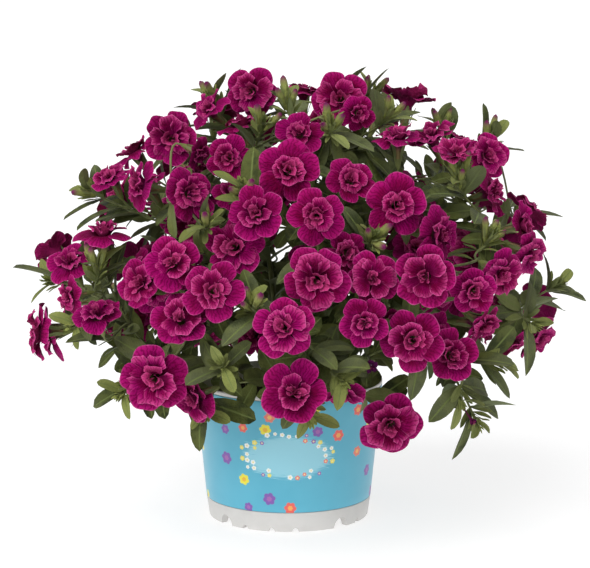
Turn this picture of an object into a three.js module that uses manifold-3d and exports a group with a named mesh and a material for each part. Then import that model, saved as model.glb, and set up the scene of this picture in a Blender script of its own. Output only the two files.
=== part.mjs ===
// A calibrachoa with double magenta flowers, growing in a printed plastic nursery pot.
// Millimetres, +Z up, -Y is the front. The origin is the middle of the pot's underside.
import * as THREE from 'three';
import { mergeVertices } from 'three/addons/utils/BufferGeometryUtils.js';
import Module from 'manifold-3d';

const wasm = await Module();
wasm.setup();

// ---------------------------------------------------------------- driving dimensions
const GAP = 0.3;                    // left between pieces that touch

const POT_HEIGHT = 88;
const RIM_RADIUS = 60;
const RIM_DEPTH = 2.8;              // height of the rim bead
const WALL_TOP_RADIUS = 59.1;       // outside of the wall under the rim bead
const WALL_FOOT_RADIUS = 51.9;      // outside of the wall above the foot
const WALL = 1.2;
const FOOT_HEIGHT = 12.6;
const FOOT_TOP_RADIUS = 52.8;
const FOOT_RADIUS = 51;
const FOOT_INNER_RADIUS = 46.5;
const PAD_RADIUS = 34;              // the flat middle of the underside
const CHANNEL_HEIGHT = 8;           // drain channel between the pad and the foot
const FLOOR = 1.6;
const ROUND_SIDES = 32;

const ARCHES = 4;                   // cut through the foot, with smaller nicks between them
const ARCH_FIRST = -50;             // degrees from the front
const ARCH = [10.5, 6.6];           // width and height
const NICK_TURNS = [18, 38, 55];    // degrees on from each arch
const NICK = [4, 2.6];
const DRAIN_HOLES = 4;
const DRAIN_RADIUS = 2.6;

const SLEEVE = 0.6;
const SOIL_TOP = 76;
const HOLE_DEPTH = 15;

const CROWN_CENTRE = [8, 0, 132];   // the outline that the blooms fill, an uneven ellipsoid
const CROWN_WIDTH = 168;
const CROWN_DEPTH = 150;
const CROWN_BACK_DEPTH = 132;
const CROWN_UP = 142;
const CROWN_DOWN = 78;

const BLOOM_DIAMETER = 37;          // the size that the bloom's rings are drawn at
const BLOOM_TURNS = 66;             // steps of the spirals that place what the lists leave out
const SHOOT_TURNS = 20;
const TOP_FROM = 0.9;
const BACK_NODES = 6;               // back blooms that are nodes of their own
const OWN_NODE_FROM = 31;           // front blooms of this diameter and up are nodes of their own

const BLOOM_MARGIN = 1;             // least distance between blooms
const GREEN_MARGIN = 1.9;           // least distance from a bloom to the stems and leaves of others
const SHIFTS = [0, -3, 3, -6, 6, -9, 9, -12, 12, -15, 15, -18, 18, -21, 21, -24, 24];

const STEM_RADIUS = 2.2;
const TIP_RADIUS = 1.3;
const TWIG_RADIUS = 1.1;
const SHOOT_TIP_RADIUS = 0.9;
const STEM_LENGTHS = 5;             // straight lengths in a main stem
const NODE_LENGTH = 2.4;            // straight length of a twig that carries one pair of leaves
const BLOOM_NODES = [15];           // distances back from a twig's end at which leaves grow
const SHOOT_NODES = [26, 13, 3];
const FORK_COST = 25;               // how much further a main stem may be than a twig to fork from
const OTHER_NODE_REACH = 4.2;       // least distance between the points of two stems or leaves
const SAME_NODE_REACH = 2.6;
const SLIVER = 0.12;                // joints of twigs are cleared of edges shorter than this
// Rings of main stems: count, first azimuth, radius and height of the four curve points.
const STEM_RINGS = [
  [6, 10, [27, 77], [32, 125], [70, 140], [100, 112]],
  [4, 35, [17, 77], [20, 130], [45, 175], [75, 190]],
  [2, 60, [6, 77], [8, 140], [18, 190], [30, 235]],
];

const MAGENTA = 0xb4126e;
const LEAF_GREEN = 0x4e6b35;

// Front blooms: x, y, z of the middle, diameter, yaw (0 faces the front), pitch (+ looks up).
const FRONT_BLOOMS = [
  [-71, -53, 247, 35, -12, 12], [-89, -77, 222, 33, -60, 15], [-58, -102, 220, 36, 35, 20],
  [-109, -43, 222, 28, -60, 60], [-49, -20, 262, 30, -60, 40], [-111, -84, 194, 36, -20, 80],
  [-132, -70, 174, 33, -35, 55], [-155, -38, 125, 37, -78, 0], [-130, -73, 157, 26, -60, -5],
  [-112, -103, 151, 32, -15, 55], [-78, -133, 115, 41, -5, 0], [-55, -126, 101, 34, -45, -12],
  [-67, -127, 182, 36, 0, 25], [-86, -114, 168, 32, -40, 25], [-62, -139, 151, 37, -5, 38],
  [-43, -143, 169, 38, -10, 20], [-23, 0, 271, 35, -8, 15], [32, -32, 269, 37, -10, 15],
  [42, -56, 263, 24, 20, -5], [7, -73, 252, 32, 0, 35], [0, -108, 234, 39, 0, 10],
  [-35, -86, 239, 29, -5, 5], [-18, -124, 211, 36, -15, 25], [17, -128, 211, 35, 0, 12],
  [37, -100, 227, 32, 15, 30], [63, -119, 215, 38, 5, 5],
  [66, -60, 249, 34, -10, 80], [88, -44, 247, 32, -60, 65], [101, -47, 240, 30, 10, 80],
  [123, -20, 233, 31, 32, 15], [124, -57, 215, 32, 70, 20], [143, -63, 195, 32, 60, 15],
  [144, -66, 181, 32, 70, -20], [125, -94, 174, 32, 40, -15],
  [88, -117, 197, 36, 50, 0], [79, -137, 178, 37, -15, 0],
  [108, -119, 166, 30, 5, -5], [72, -144, 140, 39, -5, 5],
  [95, -128, 128, 34, 15, 15], [115, -107, 142, 28, 60, -30], [61, -115, 83, 40, 5, -8],
  [-31, -137, 190, 36, -5, 15], [16, -150, 176, 40, -5, 0], [-2, -160, 150, 38, -5, 5],
  [49, -138, 175, 33, 5, 10], [44, -149, 151, 31, -5, 0], [34, -126, 188, 28, 20, 0],
  [4, -154, 111, 40, -5, 22], [33, -128, 105, 28, 10, -50], [48, -139, 124, 22, 5, 0],
  [-53, -71, 240, 24, 60, -20],
];

// Front leafy shoots: x, y, z of the tip, yaw, pitch.
const FRONT_SHOOTS = [
  [-126, -31, 213, -75, 25], [-113, -92, 177, -30, 70], [-148, -49, 158, -80, 5],
  [-130, -85, 137, -70, 0], [-48, 12, 268, -45, 70],
  [-2, -37, 269, 0, 70], [62, -42, 260, 40, 50], [93, 2, 254, -20, 80], [130, 5, 243, 40, 70],
  [101, -74, 227, 10, 70], [168, -38, 154, 85, 10], [149, -81, 137, 80, -20],
  [129, -99, 116, 70, -5], [104, -94, 91, 35, -30], [117, -59, 70, 50, -60],
  [32, -144, 115, 5, 0], [-38, -143, 124, -10, 0], [-25, -144, 161, 0, 40],
  [-101, -91, 96, -50, -30], [-49, -114, 89, -20, -60], [13, -124, 88, 5, -70],
  [50, -126, 199, 20, 20], [-28, -108, 226, -10, 40], [25, -74, 254, 0, 50],
  [-48, -119, 204, -20, 50], [123, -87, 194, 40, 60], [-14, -63, 259, 30, 60],
];

// ---------------------------------------------------------------- vectors and seeded draws
const RAD = Math.PI / 180;
const UP = [0, 0, 1];
const add = (a, b, k = 1) => [a[0] + k * b[0], a[1] + k * b[1], a[2] + k * b[2]];
const sub = (a, b) => add(a, b, -1);
const dot = (a, b) => a[0] * b[0] + a[1] * b[1] + a[2] * b[2];
const cross = (a, b) => [
  a[1] * b[2] - a[2] * b[1], a[2] * b[0] - a[0] * b[2], a[0] * b[1] - a[1] * b[0]];
const unit = (a) => add([0, 0, 0], a, 1 / Math.sqrt(dot(a, a)));
const distance = (a, b) => Math.sqrt(dot(sub(a, b), sub(a, b)));

let state = 1;
function seed(value) {
  state = value;
}
function draw(low, high) {
  state = (state * 16807) % 2147483647;
  return low + ((high - low) * state) / 2147483647;
}

// ---------------------------------------------------------------- solids
function toManifold(geometry) {
  geometry.deleteAttribute('normal');
  geometry.deleteAttribute('uv');
  const merged = mergeVertices(geometry, 1e-4);
  const index = merged.index.array;
  const kept = [];
  for (let i = 0; i < index.length; i += 3) {
    const [a, b, c] = [index[i], index[i + 1], index[i + 2]];
    if (a !== b && b !== c && c !== a) kept.push(a, b, c);
  }
  return new wasm.Manifold(new wasm.Mesh({
    numProp: 3,
    vertProperties: new Float32Array(merged.attributes.position.array),
    triVerts: new Uint32Array(kept),
  }));
}

// A closed skin over rings of points that run from one end to the other.
// A ring of one point is a tip. Rings may have unequal numbers of points.
// Each blade grows out of the facet of its strip (between two rings) that faces most along it.
function loft(rings, blades = []) {
  const points = rings.flat();
  let skin = [];                    // facets: three corners and the strip they belong to
  const cap = (start, count, flip) => {
    for (let i = 1; i + 1 < count; i++) {
      skin.push(flip ? [start, start + i + 1, start + i, -1] : [start, start + i, start + i + 1, -1]);
    }
  };
  cap(0, rings[0].length, true);
  let start = 0;
  for (let k = 0; k + 1 < rings.length; k++) {
    const next = start + rings[k].length;
    const [na, nb] = [rings[k].length, rings[k + 1].length];
    const [stepsA, stepsB] = [na > 1 ? na : 0, nb > 1 ? nb : 0];
    let [i, j] = [0, 0];
    while (i < stepsA || j < stepsB) {
      const a = start + (i % na);
      const b = next + (j % nb);
      if (j >= stepsB || (i < stepsA && (i + 0.5) / na < (j + 0.5) / nb)) {
        skin.push([a, start + ((i + 1) % na), b, k]);
        i++;
      } else {
        skin.push([a, next + ((j + 1) % nb), b, k]);
        j++;
      }
    }
    start = next;
  }
  cap(start, rings[rings.length - 1].length, false);
  let volume = 0;
  for (const [a, b, c] of skin) volume += dot(points[a], cross(points[b], points[c]));
  if (volume < 0) skin = skin.map(([a, b, c, strip]) => [a, c, b, strip]);
  for (const blade of blades) growBlade(points, skin, blade);
  return new wasm.Manifold(new wasm.Mesh({
    numProp: 3,
    vertProperties: new Float32Array(points.flat()),
    triVerts: new Uint32Array(skin.flatMap((facet) => facet.slice(0, 3))),
  }));
}

function growBlade(points, skin, blade) {
  const towards = ([a, b, c]) => dot(blade.along,
    unit(cross(sub(points[b], points[a]), sub(points[c], points[a]))));
  const open = skin.filter((facet) => facet[3] === blade.strip)
    .sort((a, b) => towards(b) - towards(a))[0];
  let corners = skin.splice(skin.indexOf(open), 1)[0].slice(0, 3);
  for (const ring of blade.rings) {
    const first = points.length;
    if (ring.length === 1) {
      points.push(ring[0]);
      corners.forEach((corner, i) => skin.push([corner, corners[(i + 1) % 3], first, -1]));
      return;
    }
    const [p, q, r] = ring;
    const turned = dot(cross(sub(q, p), sub(r, p)), blade.along) > 0 ? [p, q, r] : [p, r, q];
    const apart = (shift) => corners.reduce((sum, corner, i) => sum
      + distance(points[corner], turned[(i + shift) % 3]), 0);
    const shift = [0, 1, 2].sort((a, b) => apart(a) - apart(b))[0];
    for (let i = 0; i < 3; i++) points.push(turned[(i + shift) % 3]);
    for (let i = 0; i < 3; i++) {
      const [a, b] = [corners[i], corners[(i + 1) % 3]];
      skin.push([a, b, first + ((i + 1) % 3), -1], [a, first + ((i + 1) % 3), first + i, -1]);
    }
    corners = [first, first + 1, first + 2];
  }
}

// A solid of revolution about Z from [radius, height] points, given up or down.
function turned(profile, sides = ROUND_SIDES) {
  const outline = profile.map(([r, z]) => new THREE.Vector2(r, z));
  const geometry = new THREE.LatheGeometry(outline, sides);
  geometry.rotateX(Math.PI / 2);
  const solid = toManifold(geometry);
  return solid.volume() > 0 ? solid : toManifold(geometry.toNonIndexed().scale(-1, 1, 1));
}

// ---------------------------------------------------------------- the bloom
// Rings of [angle step start, radius, height] in the bloom's own frame, +Z out of its face.
const star = (count, start, radius, height) => Array.from({ length: count }, (_, i) => {
  const angle = (start + (360 * i) / count) * RAD;
  return [radius * Math.cos(angle), radius * Math.sin(angle), height];
});

function bloomRings(ruffle) {
  const limb = [];
  const rosette = [];
  for (let i = 0; i < 5; i++) {
    const lobe = 72 * i + 72;
    const edge = [[-36, 13.7, -1.9], [-19, 18, -1.4], [19, 18, -1.4]];
    for (const [turn, radius, height] of edge) {
      const angle = (lobe + turn) * RAD;
      const lift = turn === -36 ? 0 : ruffle[2 * i + (turn > 0 ? 1 : 0)];
      limb.push([radius * Math.cos(angle), radius * Math.sin(angle), height + lift]);
    }
    for (const [turn, radius, height] of [[-36, 11.5, 4.6], [0, 8, 3.2]]) {
      const angle = (lobe + turn) * RAD;
      rosette.push([radius * Math.cos(angle), radius * Math.sin(angle), height]);
    }
  }
  return [[[0, 0, -15]], star(5, 36, 3.6, -5), limb, star(5, 36, 7, 0.3), rosette, [[0, 0, 5.5]]];
}

function bloomAt(centre, facing, diameter) {
  const n = unit(facing);
  const u = unit(cross(UP, n));
  const spin = draw(0, 72) * RAD;
  const v = cross(n, u);
  const x = add(add([0, 0, 0], u, Math.cos(spin)), v, Math.sin(spin));
  return {
    centre, n, x, y: cross(n, x), scale: diameter / BLOOM_DIAMETER, radius: diameter / 2,
    ruffle: Array.from({ length: 10 }, () => draw(-1, 1)),
  };
}

const inBloomFrame = (bloom, [x, y, z]) => add(add(add(bloom.centre,
  bloom.x, x * bloom.scale), bloom.y, y * bloom.scale), bloom.n, z * bloom.scale);

function bloomSolid(bloom) {
  const rings = bloomRings(bloom.ruffle);
  return loft(rings.map((ring) => ring.map((point) => inBloomFrame(bloom, point))));
}

// ---------------------------------------------------------------- keeping pieces clear
// The space of a bloom is a disc, a thicker middle and the tube behind it.
function inBloom(bloom, point, margin) {
  const offset = sub(point, bloom.centre);
  const z = dot(offset, bloom.n);
  const r = Math.sqrt(Math.max(0, dot(offset, offset) - z * z));
  const s = bloom.scale;
  if (r < 3.2 * s + margin && z > -27 * s - margin && z < 0) return true;
  if (r < 12 * s + margin) return z > -5 * s - margin && z < 6.2 * s + margin;
  return r < bloom.radius + margin && z > -3.8 * s - margin && z < 0.6 * s + margin;
}

function bloomProbes(bloom) {
  const rings = [[24, 18.5, -1.5], [18, 15, -2], [12, 11.5, 4.6], [8, 8, 4], [1, 0, 6],
    [3, 3, -8], [3, 3, -12], [3, 2.5, -17], [1, 0, -22], [1, 0, -27]];
  return rings.flatMap(([count, radius, height]) => star(count, 0, radius, height))
    .map((point) => inBloomFrame(bloom, point));
}

function bloomsClash(a, b, margin) {
  if (distance(a.centre, b.centre) > a.radius + b.radius + 30) return false;
  return bloomProbes(a).some((point) => inBloom(b, point, margin))
    || bloomProbes(b).some((point) => inBloom(a, point, margin));
}

const nearPot = (p, margin) => p[2] < 91 + margin
  && Math.sqrt(p[0] * p[0] + p[1] * p[1]) < 64 + margin;

const blooms = [];

// A bloom that has no room in its place, or near it along a line, is left out.
function placeBloom(bloom, along) {
  const home = bloom.centre;
  for (const shift of SHIFTS) {
    bloom.centre = add(home, along, shift);
    const clear = !blooms.some((other) => bloomsClash(bloom, other, BLOOM_MARGIN))
      && !bloomProbes(bloom).some((point) => nearPot(point, 1));
    if (clear) {
      blooms.push(bloom);
      return;
    }
  }
}

// A point on the crown's outline and the way it faces, from azimuth and sine of elevation.
function crownPoint(azimuth, rise) {
  const level = Math.sqrt(1 - rise * rise);
  const reach = rise > 0 ? CROWN_UP : CROWN_DOWN;
  const depth = Math.cos(azimuth) > 0 ? CROWN_DEPTH : CROWN_BACK_DEPTH;
  const point = [CROWN_CENTRE[0] + CROWN_WIDTH * level * Math.sin(azimuth),
    CROWN_CENTRE[1] - depth * level * Math.cos(azimuth), CROWN_CENTRE[2] + reach * rise];
  const normal = [(point[0] - CROWN_CENTRE[0]) / CROWN_WIDTH ** 2,
    point[1] / depth ** 2, (point[2] - CROWN_CENTRE[2]) / reach ** 2];
  return [point, unit(normal)];
}

// Even places over the back and the top of the crown, on a golden spiral from the top down.
function backPlaces(turns, phase, lowest) {
  const places = [];
  for (let i = 0; i < turns; i++) {
    const rise = 1 - ((1 - lowest) * (i + 0.5)) / turns;
    const azimuth = (phase + 137.508 * i) * RAD;
    if (Math.cos(azimuth) < 0 || rise > TOP_FROM) places.push(crownPoint(azimuth, rise));
  }
  return places;
}

const facingOf = (yaw, pitch) => [Math.sin(yaw * RAD) * Math.cos(pitch * RAD),
  -Math.cos(yaw * RAD) * Math.cos(pitch * RAD), Math.sin(pitch * RAD)];

seed(1201);
for (const [x, y, z, diameter, yaw, pitch] of FRONT_BLOOMS) {
  const bloom = bloomAt([x, y, z], facingOf(yaw, pitch), diameter);
  bloom.ownNode = diameter >= OWN_NODE_FROM;
  placeBloom(bloom, [0, 1, 0]);
}
seed(3301);
backPlaces(BLOOM_TURNS, 40, -0.5).forEach(([point, normal], i) => {
  const facing = add(normal, [draw(-0.4, 0.4), draw(-0.4, 0.4), draw(-0.2, 0.4)]);
  const bloom = bloomAt(add(point, normal, draw(-12, 4)), facing, draw(30, 39));
  bloom.ownNode = i < BACK_NODES;
  placeBloom(bloom, normal);
});

// ---------------------------------------------------------------- stems, twigs and leaves
const bezier = (a, b, c, d, t) => {
  const s = 1 - t;
  const inner = add(add([0, 0, 0], b, 3 * s * s * t), c, 3 * s * t * t);
  return add(add(inner, a, s * s * s), d, t * t * t);
};

// The middle line of a stem: a curve through four control points, bent only at its stops.
function middleLine(controls, stops) {
  const bends = stops.map((t) => bezier(...controls, t));
  return (t) => {
    let i = 0;
    while (i < stops.length - 2 && t > stops[i + 1]) i++;
    const part = (t - stops[i]) / (stops[i + 1] - stops[i]);
    return add(bends[i], sub(bends[i + 1], bends[i]), part);
  };
}
const tangentAt = (path, t) => unit(sub(path(Math.min(1, t + 0.01)), path(Math.max(0, t - 0.01))));

const taken = [];                   // points filled by green pieces: [point, node, owner]

function isFree(points, node, owners, ownBloom, ease = 1) {
  for (const point of points) {
    if (nearPot(point, 1.5)) return false;
    for (const bloom of blooms) {
      if (bloom !== ownBloom && inBloom(bloom, point, GREEN_MARGIN)) return false;
    }
    for (const [other, otherNode, owner] of taken) {
      if (owners.includes(owner)) continue;
      const reach = otherNode === node ? SAME_NODE_REACH : OTHER_NODE_REACH;
      if (distance(point, other) < reach * ease) return false;
    }
  }
  return true;
}

function ringAcross(centre, direction, radius, sides, start = 0) {
  const reference = Math.abs(direction[2]) > 0.9 ? [1, 0, 0] : UP;
  const side = unit(cross(reference, direction));
  const top = cross(direction, side);
  return star(sides, start, radius, 0).map(([x, y]) => add(add(centre, side, x), top, y));
}

const stems = [];
for (const [count, first, ...curve] of STEM_RINGS) {
  for (let k = 0; k < count; k++) {
    const azimuth = (first + (360 / count) * k) * RAD;
    const points = curve.map(([r, z]) => [r * Math.sin(azimuth), -r * Math.cos(azimuth), z]);
    const stops = Array.from({ length: STEM_LENGTHS + 1 }, (_, i) => i / STEM_LENGTHS);
    const stem = { path: middleLine(points, stops), node: stems.length, owner: stems.length };
    stem.parts = [];
    const rings = [
      ringAcross([points[0][0], points[0][1], SOIL_TOP - HOLE_DEPTH + GAP], UP, STEM_RADIUS, 4)];
    for (const t of stops) {
      const direction = t === 0 ? UP : tangentAt(stem.path, t);
      rings.push(ringAcross(stem.path(t), direction, STEM_RADIUS + (TIP_RADIUS - STEM_RADIUS) * t, 4));
    }
    stem.parts.push(loft(rings));
    stem.foot = points[0];
    stems.push(stem);
    for (let t = 0; t <= 1; t += 0.025) taken.push([stem.path(t), stem.node, stem.owner]);
  }
}

let owners = stems.length;

// Where a twig bends: at the two ends of each leaf node, and between them where it is long.
function twigStops(length, nodes) {
  const stops = [0];
  for (const back of nodes) {
    const t = 1 - back / length;
    const before = stops[stops.length - 1];
    const plain = Math.floor(((t - before) * length) / 36);
    for (let i = 1; i <= plain; i++) stops.push(before + ((t - before) * i) / (plain + 1));
    stops.push(t - NODE_LENGTH / 2 / length, t + NODE_LENGTH / 2 / length);
  }
  stops.push(1);
  return stops;
}

// A twig leaves a main stem and ends at `end`, heading along `heading`, by the nearest free way.
// `nodes` are the distances back from its end at which leaves may grow.
function growTwig(end, heading, nodes, ownBloom) {
  const starts = [];
  for (const limb of limbs) {
    const step = limb.stem ? 0.15 : 0.06;
    for (let k = 0; k < 12 && 0.3 + k * step < 0.97; k++) {
      const from = limb.path(0.3 + k * step);
      const cost = distance(from, end) + 14 * dot(unit(sub(from, end)), heading)
        + (limb.stem ? FORK_COST : 0);
      starts.push([cost, limb, 0.3 + k * step, from]);
    }
  }
  starts.sort((a, b) => a[0] - b[0]);
  for (const [ease, lead] of [[1, 16], [1, 8], [0.8, 16], [0.8, 26], [0.62, 16], [0.62, 8]]) {
    for (const [, limb, t, from] of starts) {
      const stem = limb.stem ?? limb;
      const length = distance(from, end);
      if (length < 14) continue;
      const away = unit(add(unit(sub(end, from)), tangentAt(limb.path, t)));
      const kept = nodes.filter((back) => back < length - 9);
      const stops = twigStops(length, kept);
      const path = middleLine([from, add(from, away, 0.3 * length),
        add(end, heading, -Math.min(lead, 0.4 * length)), end], stops);
      const steps = Math.max(3, Math.ceil(length / 4));
      const probes = [];
      for (let i = 0; i <= steps; i++) probes.push(path(i / steps));
      const outer = probes.filter((point) => distance(point, from) > 4);
      if (!isFree(outer, stem.node, [limb.owner], ownBloom, ease)) continue;
      const behind = outer.filter((point) => distance(point, end) > 7);
      if (ownBloom && behind.some((point) => inBloom(ownBloom, point, 1.2))) continue;
      const twig = {
        path, stops, nodes: kept, stem, owner: owners++, length, blades: [], bloom: ownBloom,
      };
      for (const point of probes) taken.push([point, stem.node, twig.owner]);
      limbs.push(twig);
      return twig;
    }
  }
  return null;
}

const limbs = [...stems];           // whatever a twig may branch from
const bloomTwigs = [];
for (const bloom of blooms) {
  bloomTwigs.push(growTwig(inBloomFrame(bloom, [0, 0, -22]), bloom.n, BLOOM_NODES, bloom));
}

const shoots = [];
function growShoot(tip, heading) {
  const twig = growTwig(tip, heading, SHOOT_NODES, null);
  if (twig) shoots.push(twig);
}
for (const [x, y, z, yaw, pitch] of FRONT_SHOOTS) growShoot([x, y, z], facingOf(yaw, pitch));
seed(5501);
for (const [point, normal] of backPlaces(SHOOT_TURNS, 100, -0.55)) {
  growShoot(add(point, normal, draw(0, 12)), unit(add(normal, [0, 0, draw(-0.2, 0.7)])));
}

// A leaf is a blade with a flat upper side and a keel under its midrib.
function leafStations(leaf, parts) {
  const { root, along, face, length, width, droop } = leaf;
  const side = cross(along, face);
  return parts.map(([t, half]) => {
    const middle = add(add(root, along, t * length), face, (0.16 * t - droop * t * t) * length);
    return { middle, side, half: half * width };
  });
}

function leafProbes(leaf) {
  const stations = [[0.2, 0.3], [0.35, 0.48], [0.5, 0.5], [0.65, 0.48], [0.8, 0.36], [0.92, 0.18]];
  const probes = leafStations(leaf, stations).flatMap(({ middle, side, half }) => [
    middle, add(middle, side, half), add(middle, side, -half)]);
  return probes.concat(leafStations(leaf, [[1, 0]]).map(({ middle }) => middle));
}

function leafRings(leaf) {
  const rings = leafStations(leaf, [[0.34, 0.48], [0.7, 0.42]]).map((station) => {
    const { middle, side, half } = station;
    const edge = add(middle, leaf.face, 0.35);
    return [add(edge, side, half), add(edge, side, -half), add(middle, leaf.face, -0.75)];
  });
  rings.push([add(leafStations(leaf, [[1, 0]])[0].middle, leaf.face, 0.1)]);
  return rings;
}

const leaves = [];
function growLeaf(twig, place, roll, length, spread) {
  const t = 1 - twig.nodes[place] / twig.length;
  const root = twig.path(t);
  const tangent = tangentAt(twig.path, t);
  const sideways = unit(cross(Math.abs(tangent[2]) > 0.9 ? [1, 0, 0] : UP, tangent));
  const other = cross(tangent, sideways);
  const outward = unit(sub(root, CROWN_CENTRE));
  for (const size of [1, 0.8, 0.62]) {
    for (const turn of [0, 25, -25, 50, -50, 75, -75]) {
      const angle = (roll + turn) * RAD;
      const out = add(add([0, 0, 0], sideways, Math.cos(angle)), other, Math.sin(angle));
      const along = unit(add(add([0, 0, 0], out, Math.sin(spread * RAD)), tangent,
        Math.cos(spread * RAD)));
      const light = add(outward, UP, 0.9);
      const leaf = {
        root, along, face: unit(add(light, along, -dot(light, along))), length: length * size,
        width: length * size * 0.34, droop: draw(0.08, 0.26),
      };
      if (isFree(leafProbes(leaf), twig.stem.node, [twig.owner], null)) {
        leaf.owner = owners++;
        for (const point of leafProbes(leaf)) taken.push([point, twig.stem.node, leaf.owner]);
        const strip = twig.stops.findIndex((stop) => stop > t) - 1;
        twig.blades.push({ strip, along, rings: leafRings(leaf) });
        leaves.push(leaf);
        return;
      }
    }
  }
}

seed(7701);
for (const shoot of shoots) {
  let roll = draw(0, 360);
  shoot.nodes.forEach((back, place) => {
    const near = back < 5;
    for (let i = 0; i < 2; i++) {
      growLeaf(shoot, place, roll + 180 * i, near ? draw(15, 21) : draw(27, 36), draw(42, 66));
    }
    roll += 90;
  });
}
for (const twig of bloomTwigs) {
  let roll = draw(0, 360);
  twig.nodes.forEach((back, place) => {
    const count = draw(0, 1) < 0.4 ? 2 : 1;
    for (let i = 0; i < count; i++) growLeaf(twig, place, roll + 160 * i, draw(26, 34), draw(48, 72));
  });
}

function twigSolid(twig, endRadius) {
  const rings = twig.stops.map((t) => ringAcross(twig.path(t), tangentAt(twig.path, t),
    t === 1 ? endRadius : TWIG_RADIUS, 3));
  const { bloom } = twig;
  if (bloom) {
    const mouth = add(inBloomFrame(bloom, [0, 0, -15]), bloom.n, -GAP);
    rings.push(ringAcross(mouth, bloom.n, 2.6 * bloom.scale, 3));
    if (!bloom.ownNode) {
      rings.push(...bloomRings(bloom.ruffle).slice(1)
        .map((ring) => ring.map((point) => inBloomFrame(bloom, point))));
    }
  }
  return loft(rings, twig.blades);
}
for (const twig of bloomTwigs) twig.stem.parts.push(twigSolid(twig, TWIG_RADIUS));
for (const shoot of shoots) shoot.stem.parts.push(twigSolid(shoot, SHOOT_TIP_RADIUS));

// ---------------------------------------------------------------- pot, sleeve and soil
const wallRadius = (z) => WALL_FOOT_RADIUS + ((WALL_TOP_RADIUS - WALL_FOOT_RADIUS)
  * (z - FOOT_HEIGHT)) / (POT_HEIGHT - RIM_DEPTH - FOOT_HEIGHT);
const innerRadius = (z) => wallRadius(z) - WALL;

// What an arch or a nick takes out of the foot: a block with its upper corners cut off.
function footCutter([width, height], turn) {
  const shape = new THREE.Shape([[-0.5, -1], [0.5, -1], [0.5, 0.55], [0.3, 1], [-0.3, 1],
    [-0.5, 0.55]].map(([x, y]) => new THREE.Vector2(x * width, y * height)));
  const cutter = new THREE.ExtrudeGeometry(shape, { depth: 14, bevelEnabled: false });
  cutter.rotateX(Math.PI / 2);
  cutter.translate(0, -42, 0);
  cutter.rotateZ(turn * RAD);
  return toManifold(cutter);
}

function makePot() {
  const rimFoot = POT_HEIGHT - RIM_DEPTH;
  let pot = turned([
    [0, 0], [PAD_RADIUS, 0], [PAD_RADIUS + 3, CHANNEL_HEIGHT],
    [FOOT_INNER_RADIUS - 1.5, CHANNEL_HEIGHT], [FOOT_INNER_RADIUS, 0], [FOOT_RADIUS, 0],
    [FOOT_TOP_RADIUS, FOOT_HEIGHT], [WALL_FOOT_RADIUS, FOOT_HEIGHT],
    [WALL_TOP_RADIUS, rimFoot], [RIM_RADIUS, rimFoot + 0.3], [RIM_RADIUS, POT_HEIGHT - 0.6],
    [RIM_RADIUS - 0.7, POT_HEIGHT], [innerRadius(POT_HEIGHT), POT_HEIGHT],
    [innerRadius(CHANNEL_HEIGHT), CHANNEL_HEIGHT + FLOOR],
    [PAD_RADIUS + 2, CHANNEL_HEIGHT + FLOOR], [PAD_RADIUS - 1, FLOOR], [0, FLOOR],
  ]);
  for (let i = 0; i < ARCHES; i++) {
    const turn = ARCH_FIRST + (360 / ARCHES) * i;
    pot = pot.subtract(footCutter(ARCH, turn));
    for (const on of NICK_TURNS) pot = pot.subtract(footCutter(NICK, turn + on));
  }
  for (let i = 0; i < DRAIN_HOLES; i++) {
    const cutter = new THREE.CylinderGeometry(DRAIN_RADIUS, DRAIN_RADIUS, 6, 10);
    cutter.rotateX(Math.PI / 2);
    cutter.translate(0, -41, CHANNEL_HEIGHT);
    cutter.rotateZ((45 + 90 * i) * RAD);
    pot = pot.subtract(toManifold(cutter));
  }
  return pot;
}

function makeSleeve() {
  const low = FOOT_HEIGHT + GAP;
  const high = POT_HEIGHT - RIM_DEPTH - GAP;
  const inner = (z) => wallRadius(z) + GAP;
  return turned([[inner(low), low], [inner(low) + SLEEVE, low], [inner(high) + SLEEVE, high],
    [inner(high), high], [inner(low), low]]);
}

function makeSoil() {
  const inset = (z) => innerRadius(z) - GAP;
  const step = CHANNEL_HEIGHT + FLOOR + GAP;
  let soil = turned([
    [0, FLOOR + GAP], [PAD_RADIUS - 1.4, FLOOR + GAP], [PAD_RADIUS + 1.6, step], [inset(step), step],
    [inset(SOIL_TOP - 2), SOIL_TOP - 2], [42, SOIL_TOP + 1], [0, SOIL_TOP + 1],
  ]);
  for (const { foot } of stems) {
    const cutter = new THREE.CylinderGeometry(STEM_RADIUS + 0.9, STEM_RADIUS + 0.9, HOLE_DEPTH + 6, 5);
    cutter.rotateX(Math.PI / 2);
    cutter.translate(foot[0], foot[1], SOIL_TOP - HOLE_DEPTH / 2 + 3);
    soil = soil.subtract(toManifold(cutter));
  }
  return soil;
}

// ---------------------------------------------------------------- the named meshes
const root = new THREE.Group();
root.name = 'calibrachoa_in_pot';

function addMesh(name, solid, color, roughness) {
  const { vertProperties, triVerts } = solid.getMesh();
  const geometry = new THREE.BufferGeometry();
  geometry.setAttribute('position', new THREE.BufferAttribute(vertProperties, 3));
  geometry.setIndex(new THREE.BufferAttribute(triVerts, 1));
  geometry.computeVertexNormals();
  const material = new THREE.MeshStandardMaterial({ color, roughness, flatShading: true });
  const mesh = new THREE.Mesh(geometry, material);
  mesh.name = name;
  root.add(mesh);
}

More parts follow.
